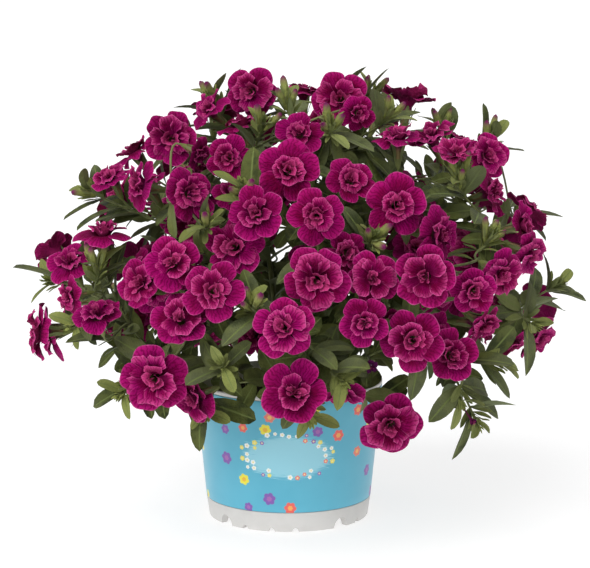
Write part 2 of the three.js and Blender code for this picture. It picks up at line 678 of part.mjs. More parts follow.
addMesh('pot', makePot(), 0xe6e3de, 0.45);
addMesh('printed_sleeve', makeSleeve(), 0x5fb4d2, 0.4);
addMesh('soil', makeSoil(), 0x3b2a1e, 0.95);
const twoDigits = (number) => String(number).padStart(2, '0');
blooms.filter((bloom) => bloom.ownNode).forEach((bloom, i) => {
  addMesh(`bloom_${twoDigits(i + 1)}`, bloomSolid(bloom), MAGENTA, 0.6);
});
stems.forEach((stem, i) => {
  // The largest shell is the outer skin: small hollows that joining seals are filled with it.
  const shells = wasm.Manifold.union(stem.parts).asOriginal().simplify(SLIVER).decompose();
  shells.sort((a, b) => b.volume() - a.volume());
  addMesh(`leafy_stem_${twoDigits(i + 1)}`, shells[0], LEAF_GREEN, 0.7);
});
export default root;
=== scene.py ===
import math

import bpy
import numpy as np
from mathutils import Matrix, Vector


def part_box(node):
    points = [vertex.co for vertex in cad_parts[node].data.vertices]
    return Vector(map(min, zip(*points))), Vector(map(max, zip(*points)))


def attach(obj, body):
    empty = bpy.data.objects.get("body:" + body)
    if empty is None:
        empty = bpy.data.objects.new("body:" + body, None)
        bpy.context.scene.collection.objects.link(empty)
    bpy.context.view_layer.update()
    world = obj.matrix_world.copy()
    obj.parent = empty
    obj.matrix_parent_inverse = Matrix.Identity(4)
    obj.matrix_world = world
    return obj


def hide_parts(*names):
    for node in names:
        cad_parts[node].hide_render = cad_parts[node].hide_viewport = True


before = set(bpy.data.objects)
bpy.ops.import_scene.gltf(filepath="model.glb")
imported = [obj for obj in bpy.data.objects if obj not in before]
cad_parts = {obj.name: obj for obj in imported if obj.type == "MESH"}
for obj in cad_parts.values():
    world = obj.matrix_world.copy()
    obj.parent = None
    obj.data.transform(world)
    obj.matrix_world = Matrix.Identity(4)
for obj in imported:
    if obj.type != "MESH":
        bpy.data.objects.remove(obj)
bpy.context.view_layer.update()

# ------------------------------------------------------------------------------------ the pot
# A nursery pot, moulded in one shot of white polypropylene: a tapered wall with a bead round its
# rim, and a foot that arches and nicks cut through so that water runs out from the drain channel.
MM = 0.001
AROUND = 192                        # facets round anything turned

rim_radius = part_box("pot")[1].x
pot_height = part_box("pot")[1].z
rim_foot = pot_height - 2.8 * MM
wall_top_radius = rim_radius - 0.9 * MM
wall_foot_radius = 51.9 * MM
wall = 1.2 * MM
foot_height = 12.6 * MM
foot_top_radius = 52.8 * MM
foot_radius = 51 * MM
foot_inner_radius = 46.5 * MM
pad_radius = 34 * MM
channel_height = 8 * MM
bottom = 1.6 * MM
arch_width, arch_height = 10.5 * MM, 6.6 * MM
nick_width, nick_height = 4 * MM, 2.6 * MM
first_arch, first_hole = -50, 45    # degrees from the front
nick_turns = (18, 38, 55)           # degrees on from each arch
hole_radius, hole_circle = 2.6 * MM, 41 * MM
cut_depth, cut_inset = 16 * MM, 3 * MM


def pick(*pieces):
    """These pieces alone are selected, and the first is the active one."""
    bpy.ops.object.select_all(action="DESELECT")
    for piece in pieces:
        piece.select_set(True)
        bpy.context.view_layer.objects.active = pieces[0]


def turned(name, outline):
    """A closed skin turned about the upright axis: one ring of edges, drawn along its outline."""
    pick()
    capped = outline[0] != outline[-1]
    radius, height = outline[0]
    bpy.ops.mesh.primitive_circle_add(vertices=AROUND, radius=radius, location=(0, 0, height))
    piece = bpy.context.object
    piece.name = piece.data.name = name
    bpy.ops.object.transform_apply()
    bpy.ops.object.mode_set(mode="EDIT")
    bpy.ops.mesh.select_all(action="SELECT")
    if capped:
        bpy.ops.mesh.edge_face_add()
    for new_radius, new_height in outline[1:]:
        bpy.ops.mesh.extrude_edges_move(
            TRANSFORM_OT_translate={"value": (0, 0, new_height - height)})
        bpy.ops.transform.resize(value=(new_radius / radius, new_radius / radius, 1),
                                 center_override=(0, 0, new_height))
        radius, height = new_radius, new_height
    if capped:
        bpy.ops.mesh.edge_face_add()
    bpy.ops.mesh.select_all(action="SELECT")
    bpy.ops.mesh.remove_doubles(threshold=0.001 * MM)
    bpy.ops.mesh.normals_make_consistent(inside=False)
    bpy.ops.object.mode_set(mode="OBJECT")
    return piece


def apply(piece, kind, **settings):
    """A modifier added and applied."""
    pick(piece)
    modifier = piece.modifiers.new(kind, kind)
    for key, value in settings.items():
        setattr(modifier, key, value)
    bpy.ops.object.modifier_apply(modifier=modifier.name)


def round_edges(piece, width, angle):
    apply(piece, "BEVEL", width=width, segments=2, limit_method="ANGLE",
          angle_limit=math.radians(angle))


def shade(piece, angle=35):
    pick(piece)
    bpy.ops.object.shade_smooth_by_angle(angle=math.radians(angle))


def wall_radius(height):
    share = (height - foot_height) / (rim_foot - foot_height)
    return wall_foot_radius + (wall_top_radius - wall_foot_radius) * share


pot = turned("moulded_pot", [
    (pad_radius, 0), (pad_radius + 3 * MM, channel_height),
    (foot_inner_radius - 1.5 * MM, channel_height), (foot_inner_radius, 0), (foot_radius, 0),
    (foot_top_radius, foot_height), (wall_foot_radius, foot_height),
    (wall_top_radius, rim_foot), (rim_radius, rim_foot + 0.3 * MM),
    (rim_radius, pot_height - 0.5 * MM), (rim_radius - 0.6 * MM, pot_height),
    (wall_radius(pot_height) - wall, pot_height),
    (wall_radius(channel_height) - wall, channel_height + bottom),
    (pad_radius + 2 * MM, channel_height + bottom), (pad_radius - MM, bottom)])
round_edges(pot, 0.35 * MM, 30)

cuts = []
notches = ((0, arch_width, arch_height), *((turn, nick_width, nick_height) for turn in nick_turns))
for quarter in range(4):
    for turn, width, height in notches:
        pick()
        bpy.ops.mesh.primitive_cylinder_add(
            vertices=40, radius=width / 2, depth=cut_depth, rotation=(math.pi / 2, 0, 0),
            location=(0, -foot_radius + cut_inset, 0))
        bpy.ops.object.transform_apply()
        cuts.append(bpy.context.object)
        cuts[-1].scale.z = 2 * height / width
        cuts[-1].rotation_euler.z = math.radians(first_arch + 90 * quarter + turn)
        bpy.ops.object.transform_apply()
for quarter in range(4):
    pick()
    bpy.ops.mesh.primitive_cylinder_add(vertices=32, radius=hole_radius, depth=6 * MM,
                                        location=(0, -hole_circle, channel_height))
    bpy.ops.object.transform_apply()
    cuts.append(bpy.context.object)
    cuts[-1].rotation_euler.z = math.radians(first_hole + 90 * quarter)
    bpy.ops.object.transform_apply()
pick(*cuts)
bpy.ops.object.join()
apply(pot, "BOOLEAN", operation="DIFFERENCE", object=cuts[0], solver="EXACT")
bpy.data.objects.remove(cuts[0])
shade(pot)


class Mixer:
    """The nodes of a material or a node group, joined as they are made."""

    def __init__(self, tree):
        self.tree = tree

    def feed(self, socket, value):
        """A number, a colour or another node's output goes into a socket."""
        if isinstance(value, bpy.types.NodeSocket):
            self.tree.links.new(value, socket)
        else:
            socket.default_value = (*value, 1) if socket.type == "RGBA" else value

    def node(self, kind, inputs=(), **settings):
        made = self.tree.nodes.new("ShaderNode" + kind)
        for key, value in settings.items():
            setattr(made, key, value)
        for key, value in dict(inputs).items():
            self.feed(made.inputs[key], value)
        return made

    def maths(self, operation, *values):
        return self.node("Math", enumerate(values), operation=operation).outputs[0]

    def vectors(self, operation, *values):
        return self.node("VectorMath", enumerate(values), operation=operation).outputs[0]

    def split(self, vector):
        """The first two parts of a vector, such as the ways across and along a leaf."""
        return self.node("SeparateXYZ", {0: vector}).outputs[:2]

    def blend(self, share, low, high):
        return self.node("Mix", {0: share, 6: low, 7: high}, data_type="RGBA").outputs[2]

    def ramp(self, value, low, high, top=1.0, soft=False):
        """0 where a value is at its low end, and the top where it is at its high end."""
        kind = "SMOOTHSTEP" if soft else "LINEAR"
        return self.node("MapRange", {0: value, 1: low, 2: high, 4: top},
                         interpolation_type=kind).outputs[0]

    def blotches(self, scale, detail=4.0, low=0.35, high=0.65):
        return self.node("Group", {"Scale": scale, "Detail": detail, "Low": low, "High": high},
                         node_tree=blotch.tree).outputs["Mask"]


# Blotches of a colour at one scale: the uneven look of plastic, print, peat and leaves.
blotch = Mixer(bpy.data.node_groups.new("blotches", "ShaderNodeTree"))
for label in ("Scale", "Detail", "Low", "High"):
    blotch.tree.interface.new_socket(label, in_out="INPUT", socket_type="NodeSocketFloat")
blotch.tree.interface.new_socket("Mask", in_out="OUTPUT", socket_type="NodeSocketFloat")
given = blotch.tree.nodes.new("NodeGroupInput").outputs
spot = blotch.node("TexCoord").outputs["Object"]
noise = blotch.node("TexNoise", {"Vector": spot, "Scale": given["Scale"],
                                 "Detail": given["Detail"]}).outputs["Fac"]
mask = blotch.ramp(noise, given["Low"], given["High"], soft=True)
blotch.feed(blotch.tree.nodes.new("NodeGroupOutput").inputs["Mask"], mask)


class Finish(Mixer):
    """A material, whose even values are set on the shader's own sockets."""

    def __init__(self, name, even):
        self.material = bpy.data.materials.new(name)
        self.material.use_nodes = True
        super().__init__(self.material.node_tree)
        self.shader = self.tree.nodes["Principled BSDF"]
        for label, value in even.items():
            self.feed(self.shader.inputs[label], value)

    def surface(self, colour, strength, depth, height):
        """The colour of the surface and its fine relief."""
        self.feed(self.shader.inputs["Base Color"], colour)
        relief = self.node("Bump", {"Strength": strength, "Distance": depth, "Height": height})
        self.feed(self.shader.inputs["Normal"], relief.outputs["Normal"])


def hand_over(piece, finish, slot, *nodes):
    """The piece gets its finish, rides on the one body and stands for its solids."""
    piece.data.materials.clear()
    piece.data.materials.append(finish.material)
    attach(piece, "root")
    if nodes:
        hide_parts(*nodes)


plastic = Finish("white_polypropylene", {"Roughness": 0.42})
plastic.surface(
    plastic.blend(plastic.blotches(55), (0.63, 0.618, 0.60), (0.685, 0.673, 0.655)),
    0.12, 0.2 * MM, plastic.blotches(900, 2.0))
hand_over(pot, plastic, "pot_plastic", "pot")

# ----------------------------------------------------------------------- the printed sleeve
# A wrap of thin glossy plastic, printed all round and shrunk on to the wall between the bead and
# the foot. It is one band, lapped and welded down the back, with small flowers printed at random.
gap = 0.3 * MM
sleeve_thickness = 0.6 * MM
sleeve_low, sleeve_high = foot_height + gap, rim_foot - gap
lap_width, lap_rise = 0.12, 0.35 * MM          # the lap at the back, in radians and height
rings = 12
heights = [sleeve_low + (sleeve_high - sleeve_low) * k / rings for k in range(rings + 1)]
inner_line = [(wall_radius(z) + gap, z) for z in heights]
outer_line = [(radius + sleeve_thickness, z) for radius, z in reversed(inner_line)]
sleeve = turned("sleeve_with_print", inner_line + outer_line + inner_line[:1])


def points_of(piece):
    points = np.empty(len(piece.data.vertices) * 3)
    piece.data.vertices.foreach_get("co", points)
    return points.reshape(-1, 3)


points = points_of(sleeve)
radii = np.hypot(points[:, 0], points[:, 1])
turns = np.arctan2(points[:, 0], -points[:, 1])
outer = radii > np.array([wall_radius(z) for z in points[:, 2]]) + gap + sleeve_thickness / 2
lapped = outer & (turns > math.pi - lap_width)
points[lapped, :2] *= ((radii + lap_rise) / radii)[lapped, None]
sleeve.data.vertices.foreach_set("co", points.ravel())
round_edges(sleeve, 0.15 * MM, 50)
shade(sleeve)

# The print lies on a map in metres: the way round from the front along U, the height along V.
map_radius = wall_radius(pot_height / 2)
print_map = sleeve.data.uv_layers.active or sleeve.data.uv_layers.new(name="UVMap")
for face in sleeve.data.polygons:
    spots = [sleeve.data.vertices[i].co for i in face.vertices]
    angles = [math.atan2(spot.x, -spot.y) for spot in spots]
    if max(angles) - min(angles) > math.pi:
        angles = [angle + 2 * math.pi * (angle < 0) for angle in angles]
    for loop, angle, spot in zip(face.loop_indices, angles, spots):
        print_map.data[loop].uv = (angle * map_radius, spot.z)

wrap = Finish("printed_blue_wrap", {"Roughness": 0.38, "Coat Weight": 0.25,
                                    "Coat Roughness": 0.3})
on_print = wrap.node("UVMap").outputs["UV"]
printed_eye = 0.42                  # of a printed flower's size


def printed_flowers(spacing, petals, size, kept):
    """Round-petalled flowers in most cells of a scattered grid: the masks of their petals and
    of their eyes, a number drawn for each, and its middle."""
    spaced = wrap.vectors("MULTIPLY", on_print, (spacing, spacing, 1))
    cells = wrap.node("TexVoronoi", {"Vector": spaced, "Scale": 1.0, "Randomness": 0.55},
                      voronoi_dimensions="2D").outputs
    offset = wrap.vectors("SUBTRACT", spaced, cells["Position"])
    out = wrap.node("VectorMath", {0: offset}, operation="LENGTH").outputs["Value"]
    drawn, spin, bulk = wrap.node("SeparateColor", {0: cells["Color"]}).outputs
    turn = wrap.maths("MULTIPLY_ADD", spin, 6.28, wrap.maths("ARCTAN2", *wrap.split(offset)))
    wave = wrap.maths("SINE", wrap.maths("MULTIPLY", turn, petals / 2))
    edge = wrap.maths("MULTIPLY", wrap.maths("MULTIPLY_ADD", bulk, 0.35 * size, 0.75 * size),
                      wrap.maths("MULTIPLY_ADD", wrap.maths("ABSOLUTE", wave), 0.22, 0.78))
    is_kept = wrap.maths("LESS_THAN", drawn, kept)
    masks = [wrap.maths("MULTIPLY", is_kept, wrap.ramp(
        wrap.maths("DIVIDE", out, wrap.maths("MULTIPLY", edge, share)), 1.1, 0.9, soft=True))
        for share in (1.0, printed_eye)]
    return masks, drawn, wrap.vectors("DIVIDE", cells["Position"], (spacing, spacing, 1))


def ink_of(value, *inks):
    """One ink of a few, each used from its own value up."""
    steps = wrap.node("ValToRGB", {0: value})
    steps.color_ramp.interpolation = "CONSTANT"
    for k, (start, ink) in enumerate(inks):
        step = steps.color_ramp.elements[k] if k < 2 else steps.color_ramp.elements.new(start)
        step.position = start
        step.color = (*ink, 1)
    return steps.outputs["Color"]


# The badge at the front: a soft pale oval in a wreath of small flowers, with no words.
badge_height, badge_wide, badge_tall = 49 * MM, 27 * MM, 13.5 * MM
clear_of_badge = 1.34               # where the larger flowers begin; 1 is the badge's edge
wreath_line, wreath_width = 0.98, 0.2


def from_badge(spot):
    """How far a spot of the print is from the badge's middle: 1 on the badge's edge."""
    across, upward = wrap.split(spot)
    across = wrap.maths("DIVIDE", across, badge_wide)
    upward = wrap.maths("DIVIDE", wrap.maths("SUBTRACT", upward, badge_height), badge_tall)
    return wrap.maths("SQRT", wrap.maths("ADD", wrap.maths("MULTIPLY", across, across),
                                         wrap.maths("MULTIPLY", upward, upward)))


colour = wrap.blend(wrap.blotches(30), (0.088, 0.438, 0.602), (0.106, 0.470, 0.635))
masks, drawn, middles = printed_flowers(spacing=68, petals=6, size=0.26, kept=0.52)
outside = wrap.maths("GREATER_THAN", from_badge(middles), clear_of_badge)
petal_ink = ink_of(drawn, (0, (0.88, 0.78, 0.05)), (0.14, (0.86, 0.13, 0.10)),
                   (0.25, (0.22, 0.09, 0.42)), (0.40, (0.84, 0.22, 0.15)))
eye_ink = ink_of(drawn, (0, (0.86, 0.50, 0.04)), (0.14, (0.90, 0.42, 0.10)),
                 (0.25, (0.38, 0.13, 0.42)), (0.40, (0.92, 0.50, 0.14)))
for mask, ink in zip(masks, (petal_ink, eye_ink)):
    colour = wrap.blend(wrap.maths("MULTIPLY", mask, outside), colour, ink)

brush = wrap.vectors("MULTIPLY", on_print, (26, 420, 1))      # strokes that run round the pot
brushed = wrap.node("TexNoise", {"Vector": brush, "Detail": 3.0}).outputs["Fac"]
ragged = wrap.maths("MULTIPLY_ADD", brushed, 0.9, from_badge(on_print))
wash = wrap.maths("MULTIPLY", wrap.ramp(ragged, 1.52, 1.34, soft=True), 0.85)
colour = wrap.blend(wash, colour, (0.34, 0.70, 0.82))

masks, drawn, middles = printed_flowers(spacing=225, petals=5, size=0.36, kept=0.8)
off_line = wrap.maths("ABSOLUTE", wrap.maths("SUBTRACT", from_badge(middles), wreath_line))
on_wreath = wrap.maths("LESS_THAN", off_line, wreath_width)
wreath_ink = ink_of(drawn, (0, (0.92, 0.95, 0.95)), (0.46, (0.86, 0.22, 0.20)),
                    (0.58, (0.90, 0.80, 0.12)), (0.70, (0.30, 0.12, 0.50)))
for mask, ink in zip(masks, (wreath_ink, (0.90, 0.80, 0.35))):
    colour = wrap.blend(wrap.maths("MULTIPLY", mask, on_wreath), colour, ink)
wrap.surface(colour, 0.06, 0.4 * MM, wrap.blotches(120, 3.0))
hand_over(sleeve, wrap, "sleeve_print", "printed_sleeve")

# ------------------------------------------------------------------------------------ the peat
# Peat-based potting soil, filled to a finger's width under the rim and settled by watering: dark
# fibres and crumbs with a few white grains of perlite. The stems stand in it.
soil_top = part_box("soil")[1].z
soil_edge = soil_top - 3 * MM
step = channel_height + bottom + gap
top_edge = wall_radius(soil_edge) - wall - gap
bed = [(pad_radius - 1.4 * MM, bottom + gap), (pad_radius + 1.6 * MM, step),
       (wall_radius(step) - wall - gap, step), (top_edge, soil_edge)]
steps_in, edge_slope = 22, 3.5
for k in range(1, steps_in):
    share = 1 - k / steps_in
    bed.append((top_edge * share, soil_edge + (soil_top - soil_edge) * min(1, edge_slope * (1 - share))))
filling = turned("peat_filling", bed)
points = points_of(filling)
x, y = points[:, 0] / MM, points[:, 1] / MM
lumps = (np.sin(0.42 * x + 1.1 * np.sin(0.23 * y)) * np.sin(0.37 * y + 0.8 * np.sin(0.31 * x))
         + 0.6 * np.sin(1.1 * x + 0.7 * y) * np.sin(0.9 * y - 0.5 * x))
lump_height, sinking = 0.7 * MM, 0.6 * MM
settled = points[:, 2] > soil_edge + 0.1 * MM
points[settled, 2] += lump_height * lumps[settled] - sinking
filling.data.vertices.foreach_set("co", points.ravel())
shade(filling, 60)

peat = Finish("peat", {"Roughness": 0.95, "Specular IOR Level": 0.2})
fibres = peat.blend(peat.blotches(260, 6.0), (0.012, 0.007, 0.004), (0.060, 0.036, 0.021))
with_perlite = peat.blend(peat.blotches(700, 2.0, 0.72, 0.76), fibres, (0.42, 0.38, 0.33))
peat.surface(with_perlite, 0.9, 2 * MM, peat.blotches(420, 8.0, 0.2, 0.8))
hand_over(filling, peat, "potting_soil", "soil")

FULL_TURN = 6.2832
state = 1


def seed(value):
    global state
    state = value


def draw(low, high):
    """The next of an even series of draws, the same in every run."""
    global state
    state = state * 16807 % 2147483647
    return low + (high - low) * state / 2147483647


seed(4401)
crumb_count = 130
crumbs = []
for _ in range(crumb_count):
    pick()
    bearing = draw(0, FULL_TURN)
    out = (wall_top_radius - 5 * MM) * math.sqrt(draw(0, 1))
    bpy.ops.mesh.primitive_ico_sphere_add(subdivisions=1, radius=draw(0.8, 2.1) * MM, location=(
        out * math.sin(bearing), out * math.cos(bearing), soil_top - 0.4 * MM))
    crumbs.append(bpy.context.object)
    crumbs[-1].scale = (draw(0.7, 1.3), draw(0.7, 1.3), draw(0.4, 0.9))
    crumbs[-1].rotation_euler = (draw(-0.5, 0.5), draw(-0.5, 0.5), draw(0, FULL_TURN))
    bpy.ops.object.transform_apply()
pick(*crumbs)
bpy.ops.object.join()
crumbs[0].name = crumbs[0].data.name = "peat_crumbs"
hand_over(crumbs[0], peat, "potting_soil")

# ------------------------------------------------------------------------- how the plant grows
# Twelve main stems leave the peat, and twigs fork from them wherever there is room: each ends in
# a flower or in a leafy shoot. The flowers are settled first, then the twigs, then the leaves.
FRONT_FLOWERS = [    # x, y, z of the middle in mm, diameter, yaw (0 faces the front), pitch
    (-71, -53, 247, 35, -12, 12), (-89, -77, 222, 33, -60, 15), (-58, -102, 220, 36, 35, 20),
    (-109, -43, 222, 28, -60, 60), (-49, -20, 262, 30, -60, 40), (-111, -84, 194, 36, -20, 80),
    (-132, -70, 174, 33, -35, 55), (-155, -38, 125, 37, -78, 0), (-130, -73, 157, 26, -60, -5),
    (-112, -103, 151, 32, -15, 55), (-78, -133, 115, 41, -5, 0), (-55, -126, 101, 34, -45, -12),
    (-67, -127, 182, 36, 0, 25), (-86, -114, 168, 32, -40, 25), (-62, -139, 151, 37, -5, 38),
    (-43, -143, 169, 38, -10, 20), (-23, 0, 271, 35, -8, 15), (32, -32, 269, 37, -10, 15),
    (42, -56, 263, 24, 20, -5), (7, -73, 252, 32, 0, 35), (0, -108, 234, 39, 0, 10),
    (-35, -86, 239, 29, -5, 5), (-18, -124, 211, 36, -15, 25), (17, -128, 211, 35, 0, 12),
    (37, -100, 227, 32, 15, 30), (63, -119, 215, 38, 5, 5),
    (66, -60, 249, 34, -10, 80), (88, -44, 247, 32, -60, 65), (101, -47, 240, 30, 10, 80),
    (123, -20, 233, 31, 32, 15), (124, -57, 215, 32, 70, 20), (143, -63, 195, 32, 60, 15),
    (144, -66, 181, 32, 70, -20), (125, -94, 174, 32, 40, -15), (88, -117, 197, 36, 50, 0),
    (79, -137, 178, 37, -15, 0), (108, -119, 166, 30, 5, -5), (72, -144, 140, 39, -5, 5),
    (95, -128, 128, 34, 15, 15), (115, -107, 142, 28, 60, -30), (61, -115, 83, 40, 5, -8),
    (-31, -137, 190, 36, -5, 15), (16, -150, 176, 40, -5, 0), (-2, -160, 150, 38, -5, 5),
    (49, -138, 175, 33, 5, 10), (44, -149, 151, 31, -5, 0), (34, -126, 188, 28, 20, 0),
    (4, -154, 111, 40, -5, 22), (33, -128, 105, 28, 10, -50), (48, -139, 124, 22, 5, 0),
    (-53, -71, 240, 24, 60, -20)]
FRONT_SHOOTS = [     # x, y, z of the tip in mm, yaw, pitch
    (-126, -31, 213, -75, 25), (-113, -92, 177, -30, 70), (-148, -49, 158, -80, 5),
    (-130, -85, 137, -70, 0), (-48, 12, 268, -45, 70),
    (-2, -37, 269, 0, 70), (62, -42, 260, 40, 50), (93, 2, 254, -20, 80), (130, 5, 243, 40, 70),
    (101, -74, 227, 10, 70), (168, -38, 154, 85, 10), (149, -81, 137, 80, -20),
    (129, -99, 116, 70, -5), (104, -94, 91, 35, -30), (117, -59, 70, 50, -60),
    (32, -144, 115, 5, 0), (-38, -143, 124, -10, 0), (-25, -144, 161, 0, 40),
    (-101, -91, 96, -50, -30), (-49, -114, 89, -20, -60), (13, -124, 88, 5, -70),
    (50, -126, 199, 20, 20), (-28, -108, 226, -10, 40), (25, -74, 254, 0, 50),
    (-48, -119, 204, -20, 50), (123, -87, 194, 40, 60), (-14, -63, 259, 30, 60)]
LEAST_OWN = 31                      # from this diameter up, a front flower is a piece of its own
BACK_OWN = 6                        # and so are the first of the back

UP, NOWHERE = (0.0, 0.0, 1.0), (0.0, 0.0, 0.0)
GOLDEN_TURN = 137.508               # degrees from one place of a spiral to the next
crown_centre = (8.0, 0.0, 132.0)    # the outline that the flowers fill, an uneven ellipsoid, in mm
crown_width, crown_depth, crown_back_depth, crown_up, crown_down = 168, 150, 132, 142, 78
FIFTH = 72                          # degrees: all parts of the flowers come in fives
drawn_diameter = 37                 # the size that a flower's own measures are given at
tube_length, calyx_back = 27, 22    # behind a flower's face, in its own measures
shifts = (0, -3, 3, -6, 6, -9, 9, -12, 12, -15, 15, -18, 18, -21, 21, -24, 24)
petal_gap, far_apart = 1, 30        # mm between flowers that just fit, and that can't touch


def add(a, b, k=1.0):
    return (a[0] + k * b[0], a[1] + k * b[1], a[2] + k * b[2])


def sub(a, b):
    return add(a, b, -1)


def dot(a, b):
    return a[0] * b[0] + a[1] * b[1] + a[2] * b[2]


def cross(a, b):
    return (a[1] * b[2] - a[2] * b[1], a[2] * b[0] - a[0] * b[2], a[0] * b[1] - a[1] * b[0])


def unit(a):
    return add(NOWHERE, a, 1 / math.sqrt(dot(a, a)))


def distance(a, b):
    return math.sqrt(dot(sub(a, b), sub(a, b)))


def swing(a, b, angle):
    """The way that lies at an angle from a towards b."""
    return add(add(NOWHERE, a, math.cos(angle)), b, math.sin(angle))


def facing_of(yaw, pitch):
    yaw, pitch = math.radians(yaw), math.radians(pitch)
    return (math.sin(yaw) * math.cos(pitch), -math.cos(yaw) * math.cos(pitch), math.sin(pitch))


class Flower:
    """Where a flower is, the way it faces, and how its edge ruffles."""

    def __init__(self, centre, facing, diameter):
        self.n = unit(facing)
        level = unit(cross(UP, self.n))
        self.x = swing(level, cross(self.n, level), math.radians(draw(0, FIFTH)))
        self.y = cross(self.n, self.x)
        self.centre = centre
        self.scale = diameter / drawn_diameter
        self.radius = diameter / 2
        self.ruffle = [draw(-1, 1) for _ in range(10)]
        self.own_node = False

    def placed(self, points):
        """Points of the flower's own frame, where they really are."""
        return np.array(self.centre) + self.scale * points @ np.array([self.x, self.y, self.n])

    def twig(self):
        """The twig that carries the flower by its calyx, or None."""
        end = add(self.centre, self.n, -calyx_back * self.scale)
        return grow_twig(end, self.n, [15], self)


probe_rings = ((24, 18.5, -1.5), (18, 15, -2), (12, 11.5, 4.6), (8, 8, 4), (1, 0, 6), (3, 3, -8),
               (3, 3, -12), (3, 2.5, -17), (1, 0, -calyx_back), (1, 0, -tube_length))
own_probes = np.array([
    (radius * math.cos(2 * math.pi * i / count), radius * math.sin(2 * math.pi * i / count), z)
    for count, radius, z in probe_rings for i in range(count)])


def inside(points, flower, margin):
    """Which points lie in a flower's space: a disc, a thicker middle and the tube behind it."""
    offset = np.atleast_2d(points) - np.array(flower.centre)
    z = offset @ np.array(flower.n)
    r = np.sqrt(np.maximum(0, (offset * offset).sum(1) - z * z))
    s, m = flower.scale, margin     # the other numbers are in the flower's own measures
    tube = (r < 3.2 * s + m) & (z > -tube_length * s - m) & (z < 0)
    middle = (z > -5 * s - m) & (z < 6.2 * s + m)
    disc = (r < flower.radius + m) & (z > -3.8 * s - m) & (z < 0.6 * s + m)
    return tube | np.where(r < 12 * s + m, middle, disc)


pot_top, pot_reach = 91, 64         # mm, of the space that the plant leaves to the pot


def near_pot(points, margin):
    points = np.atleast_2d(points)
    return ((points[:, 2] < pot_top + margin)
            & (np.hypot(points[:, 0], points[:, 1]) < pot_reach + margin)).any()


plant_flowers = []


def place_flower(flower, along):
    """The flower takes the free place nearest to its own, and is left out if there is none."""
    home = flower.centre
    for shift in shifts:
        flower.centre = add(home, along, shift)
        flower.probes = flower.placed(own_probes)
        if near_pot(flower.probes, petal_gap):
            continue
        reach = flower.radius + far_apart
        if not any(distance(flower.centre, other.centre) <= reach + other.radius
                   and (inside(flower.probes, other, petal_gap).any()
                        or inside(other.probes, flower, petal_gap).any())
                   for other in plant_flowers):
            plant_flowers.append(flower)
            return True
    return False


def crown_reach(is_front, is_above):
    return (crown_depth if is_front else crown_back_depth), (crown_up if is_above else crown_down)


def crown_point(azimuth, rise):
    """A point on the crown's outline and the way it faces."""
    level = math.sqrt(1 - rise * rise)
    depth, reach = crown_reach(math.cos(azimuth) > 0, rise > 0)
    point = (crown_centre[0] + crown_width * level * math.sin(azimuth),
             crown_centre[1] - depth * level * math.cos(azimuth), crown_centre[2] + reach * rise)
    normal = ((point[0] - crown_centre[0]) / crown_width ** 2, point[1] / depth ** 2,
              (point[2] - crown_centre[2]) / reach ** 2)
    return point, unit(normal)


def back_places(count, phase, lowest):
    """Even places over the back and the top, on a golden spiral from the top down."""
    for i in range(count):
        rise = 1 - ((1 - lowest) * (i + 0.5)) / count
        azimuth = math.radians(phase + GOLDEN_TURN * i)
        if math.cos(azimuth) < 0 or rise > 0.9:
            yield crown_point(azimuth, rise)


seed(1201)
for *centre, diameter, yaw, pitch in FRONT_FLOWERS:
    flower = Flower(centre, facing_of(yaw, pitch), diameter)
    flower.own_node = diameter >= LEAST_OWN
    place_flower(flower, (0.0, 1.0, 0.0))
seed(3301)
for i, (point, normal) in enumerate(back_places(count=66, phase=40, lowest=-0.5)):
    facing = add(normal, (draw(-0.4, 0.4), draw(-0.4, 0.4), draw(-0.2, 0.4)))
    centre = add(point, normal, draw(-12, 4))
    flower = Flower(centre, facing, draw(30, 39))
    flower.own_node = i < BACK_OWN
    place_flower(flower, normal)


def bezier(a, b, c, d, t):
    s = 1 - t
    inner = add(add(NOWHERE, b, 3 * s * s * t), c, 3 * s * t * t)
    return add(add(inner, a, s * s * s), d, t * t * t)


class Limb:
    """A stem or twig: a line bent only at its stops, the stem it belongs to, and its forks."""

    def __init__(self, controls, stops, is_main=False):
        self.controls, self.stops, self.is_main = controls, stops, is_main
        self.bends = [bezier(*controls, t) for t in stops]
        pace = 0.06 if is_main else 0.15
        ways = [0.3 + k * pace for k in range(12) if 0.3 + k * pace < 0.97]
        self.forks = [(self.at(t), self.tangent(t)) for t in ways]

    def at(self, t):
        i = 0
        while i < len(self.stops) - 2 and t > self.stops[i + 1]:
            i += 1
        part = (t - self.stops[i]) / (self.stops[i + 1] - self.stops[i])
        return add(self.bends[i], sub(self.bends[i + 1], self.bends[i]), part)

    def tangent(self, t):
        return unit(sub(self.at(min(1, t + 0.01)), self.at(max(0, t - 0.01))))


flower_centres = np.array([flower.centre for flower in plant_flowers])
flower_reach = 30                   # no part of a flower is further than this from its middle
search = 4.3                        # a little more than the clearances below, all in mm
pot_clearance, flower_clearance, own_stem_clearance, clearance = 1.5, 1.9, 2.6, 4.2
own_flower_clearance = 1.2
taken = np.empty((40000, 5))        # points that green pieces fill, with their stems and owners
taken_count = 0


def take(points, stem, owner):
    global taken_count
    last = taken_count + len(points)
    taken[taken_count:last, :3] = points
    taken[taken_count:last, 3:] = stem, owner
    taken_count = last


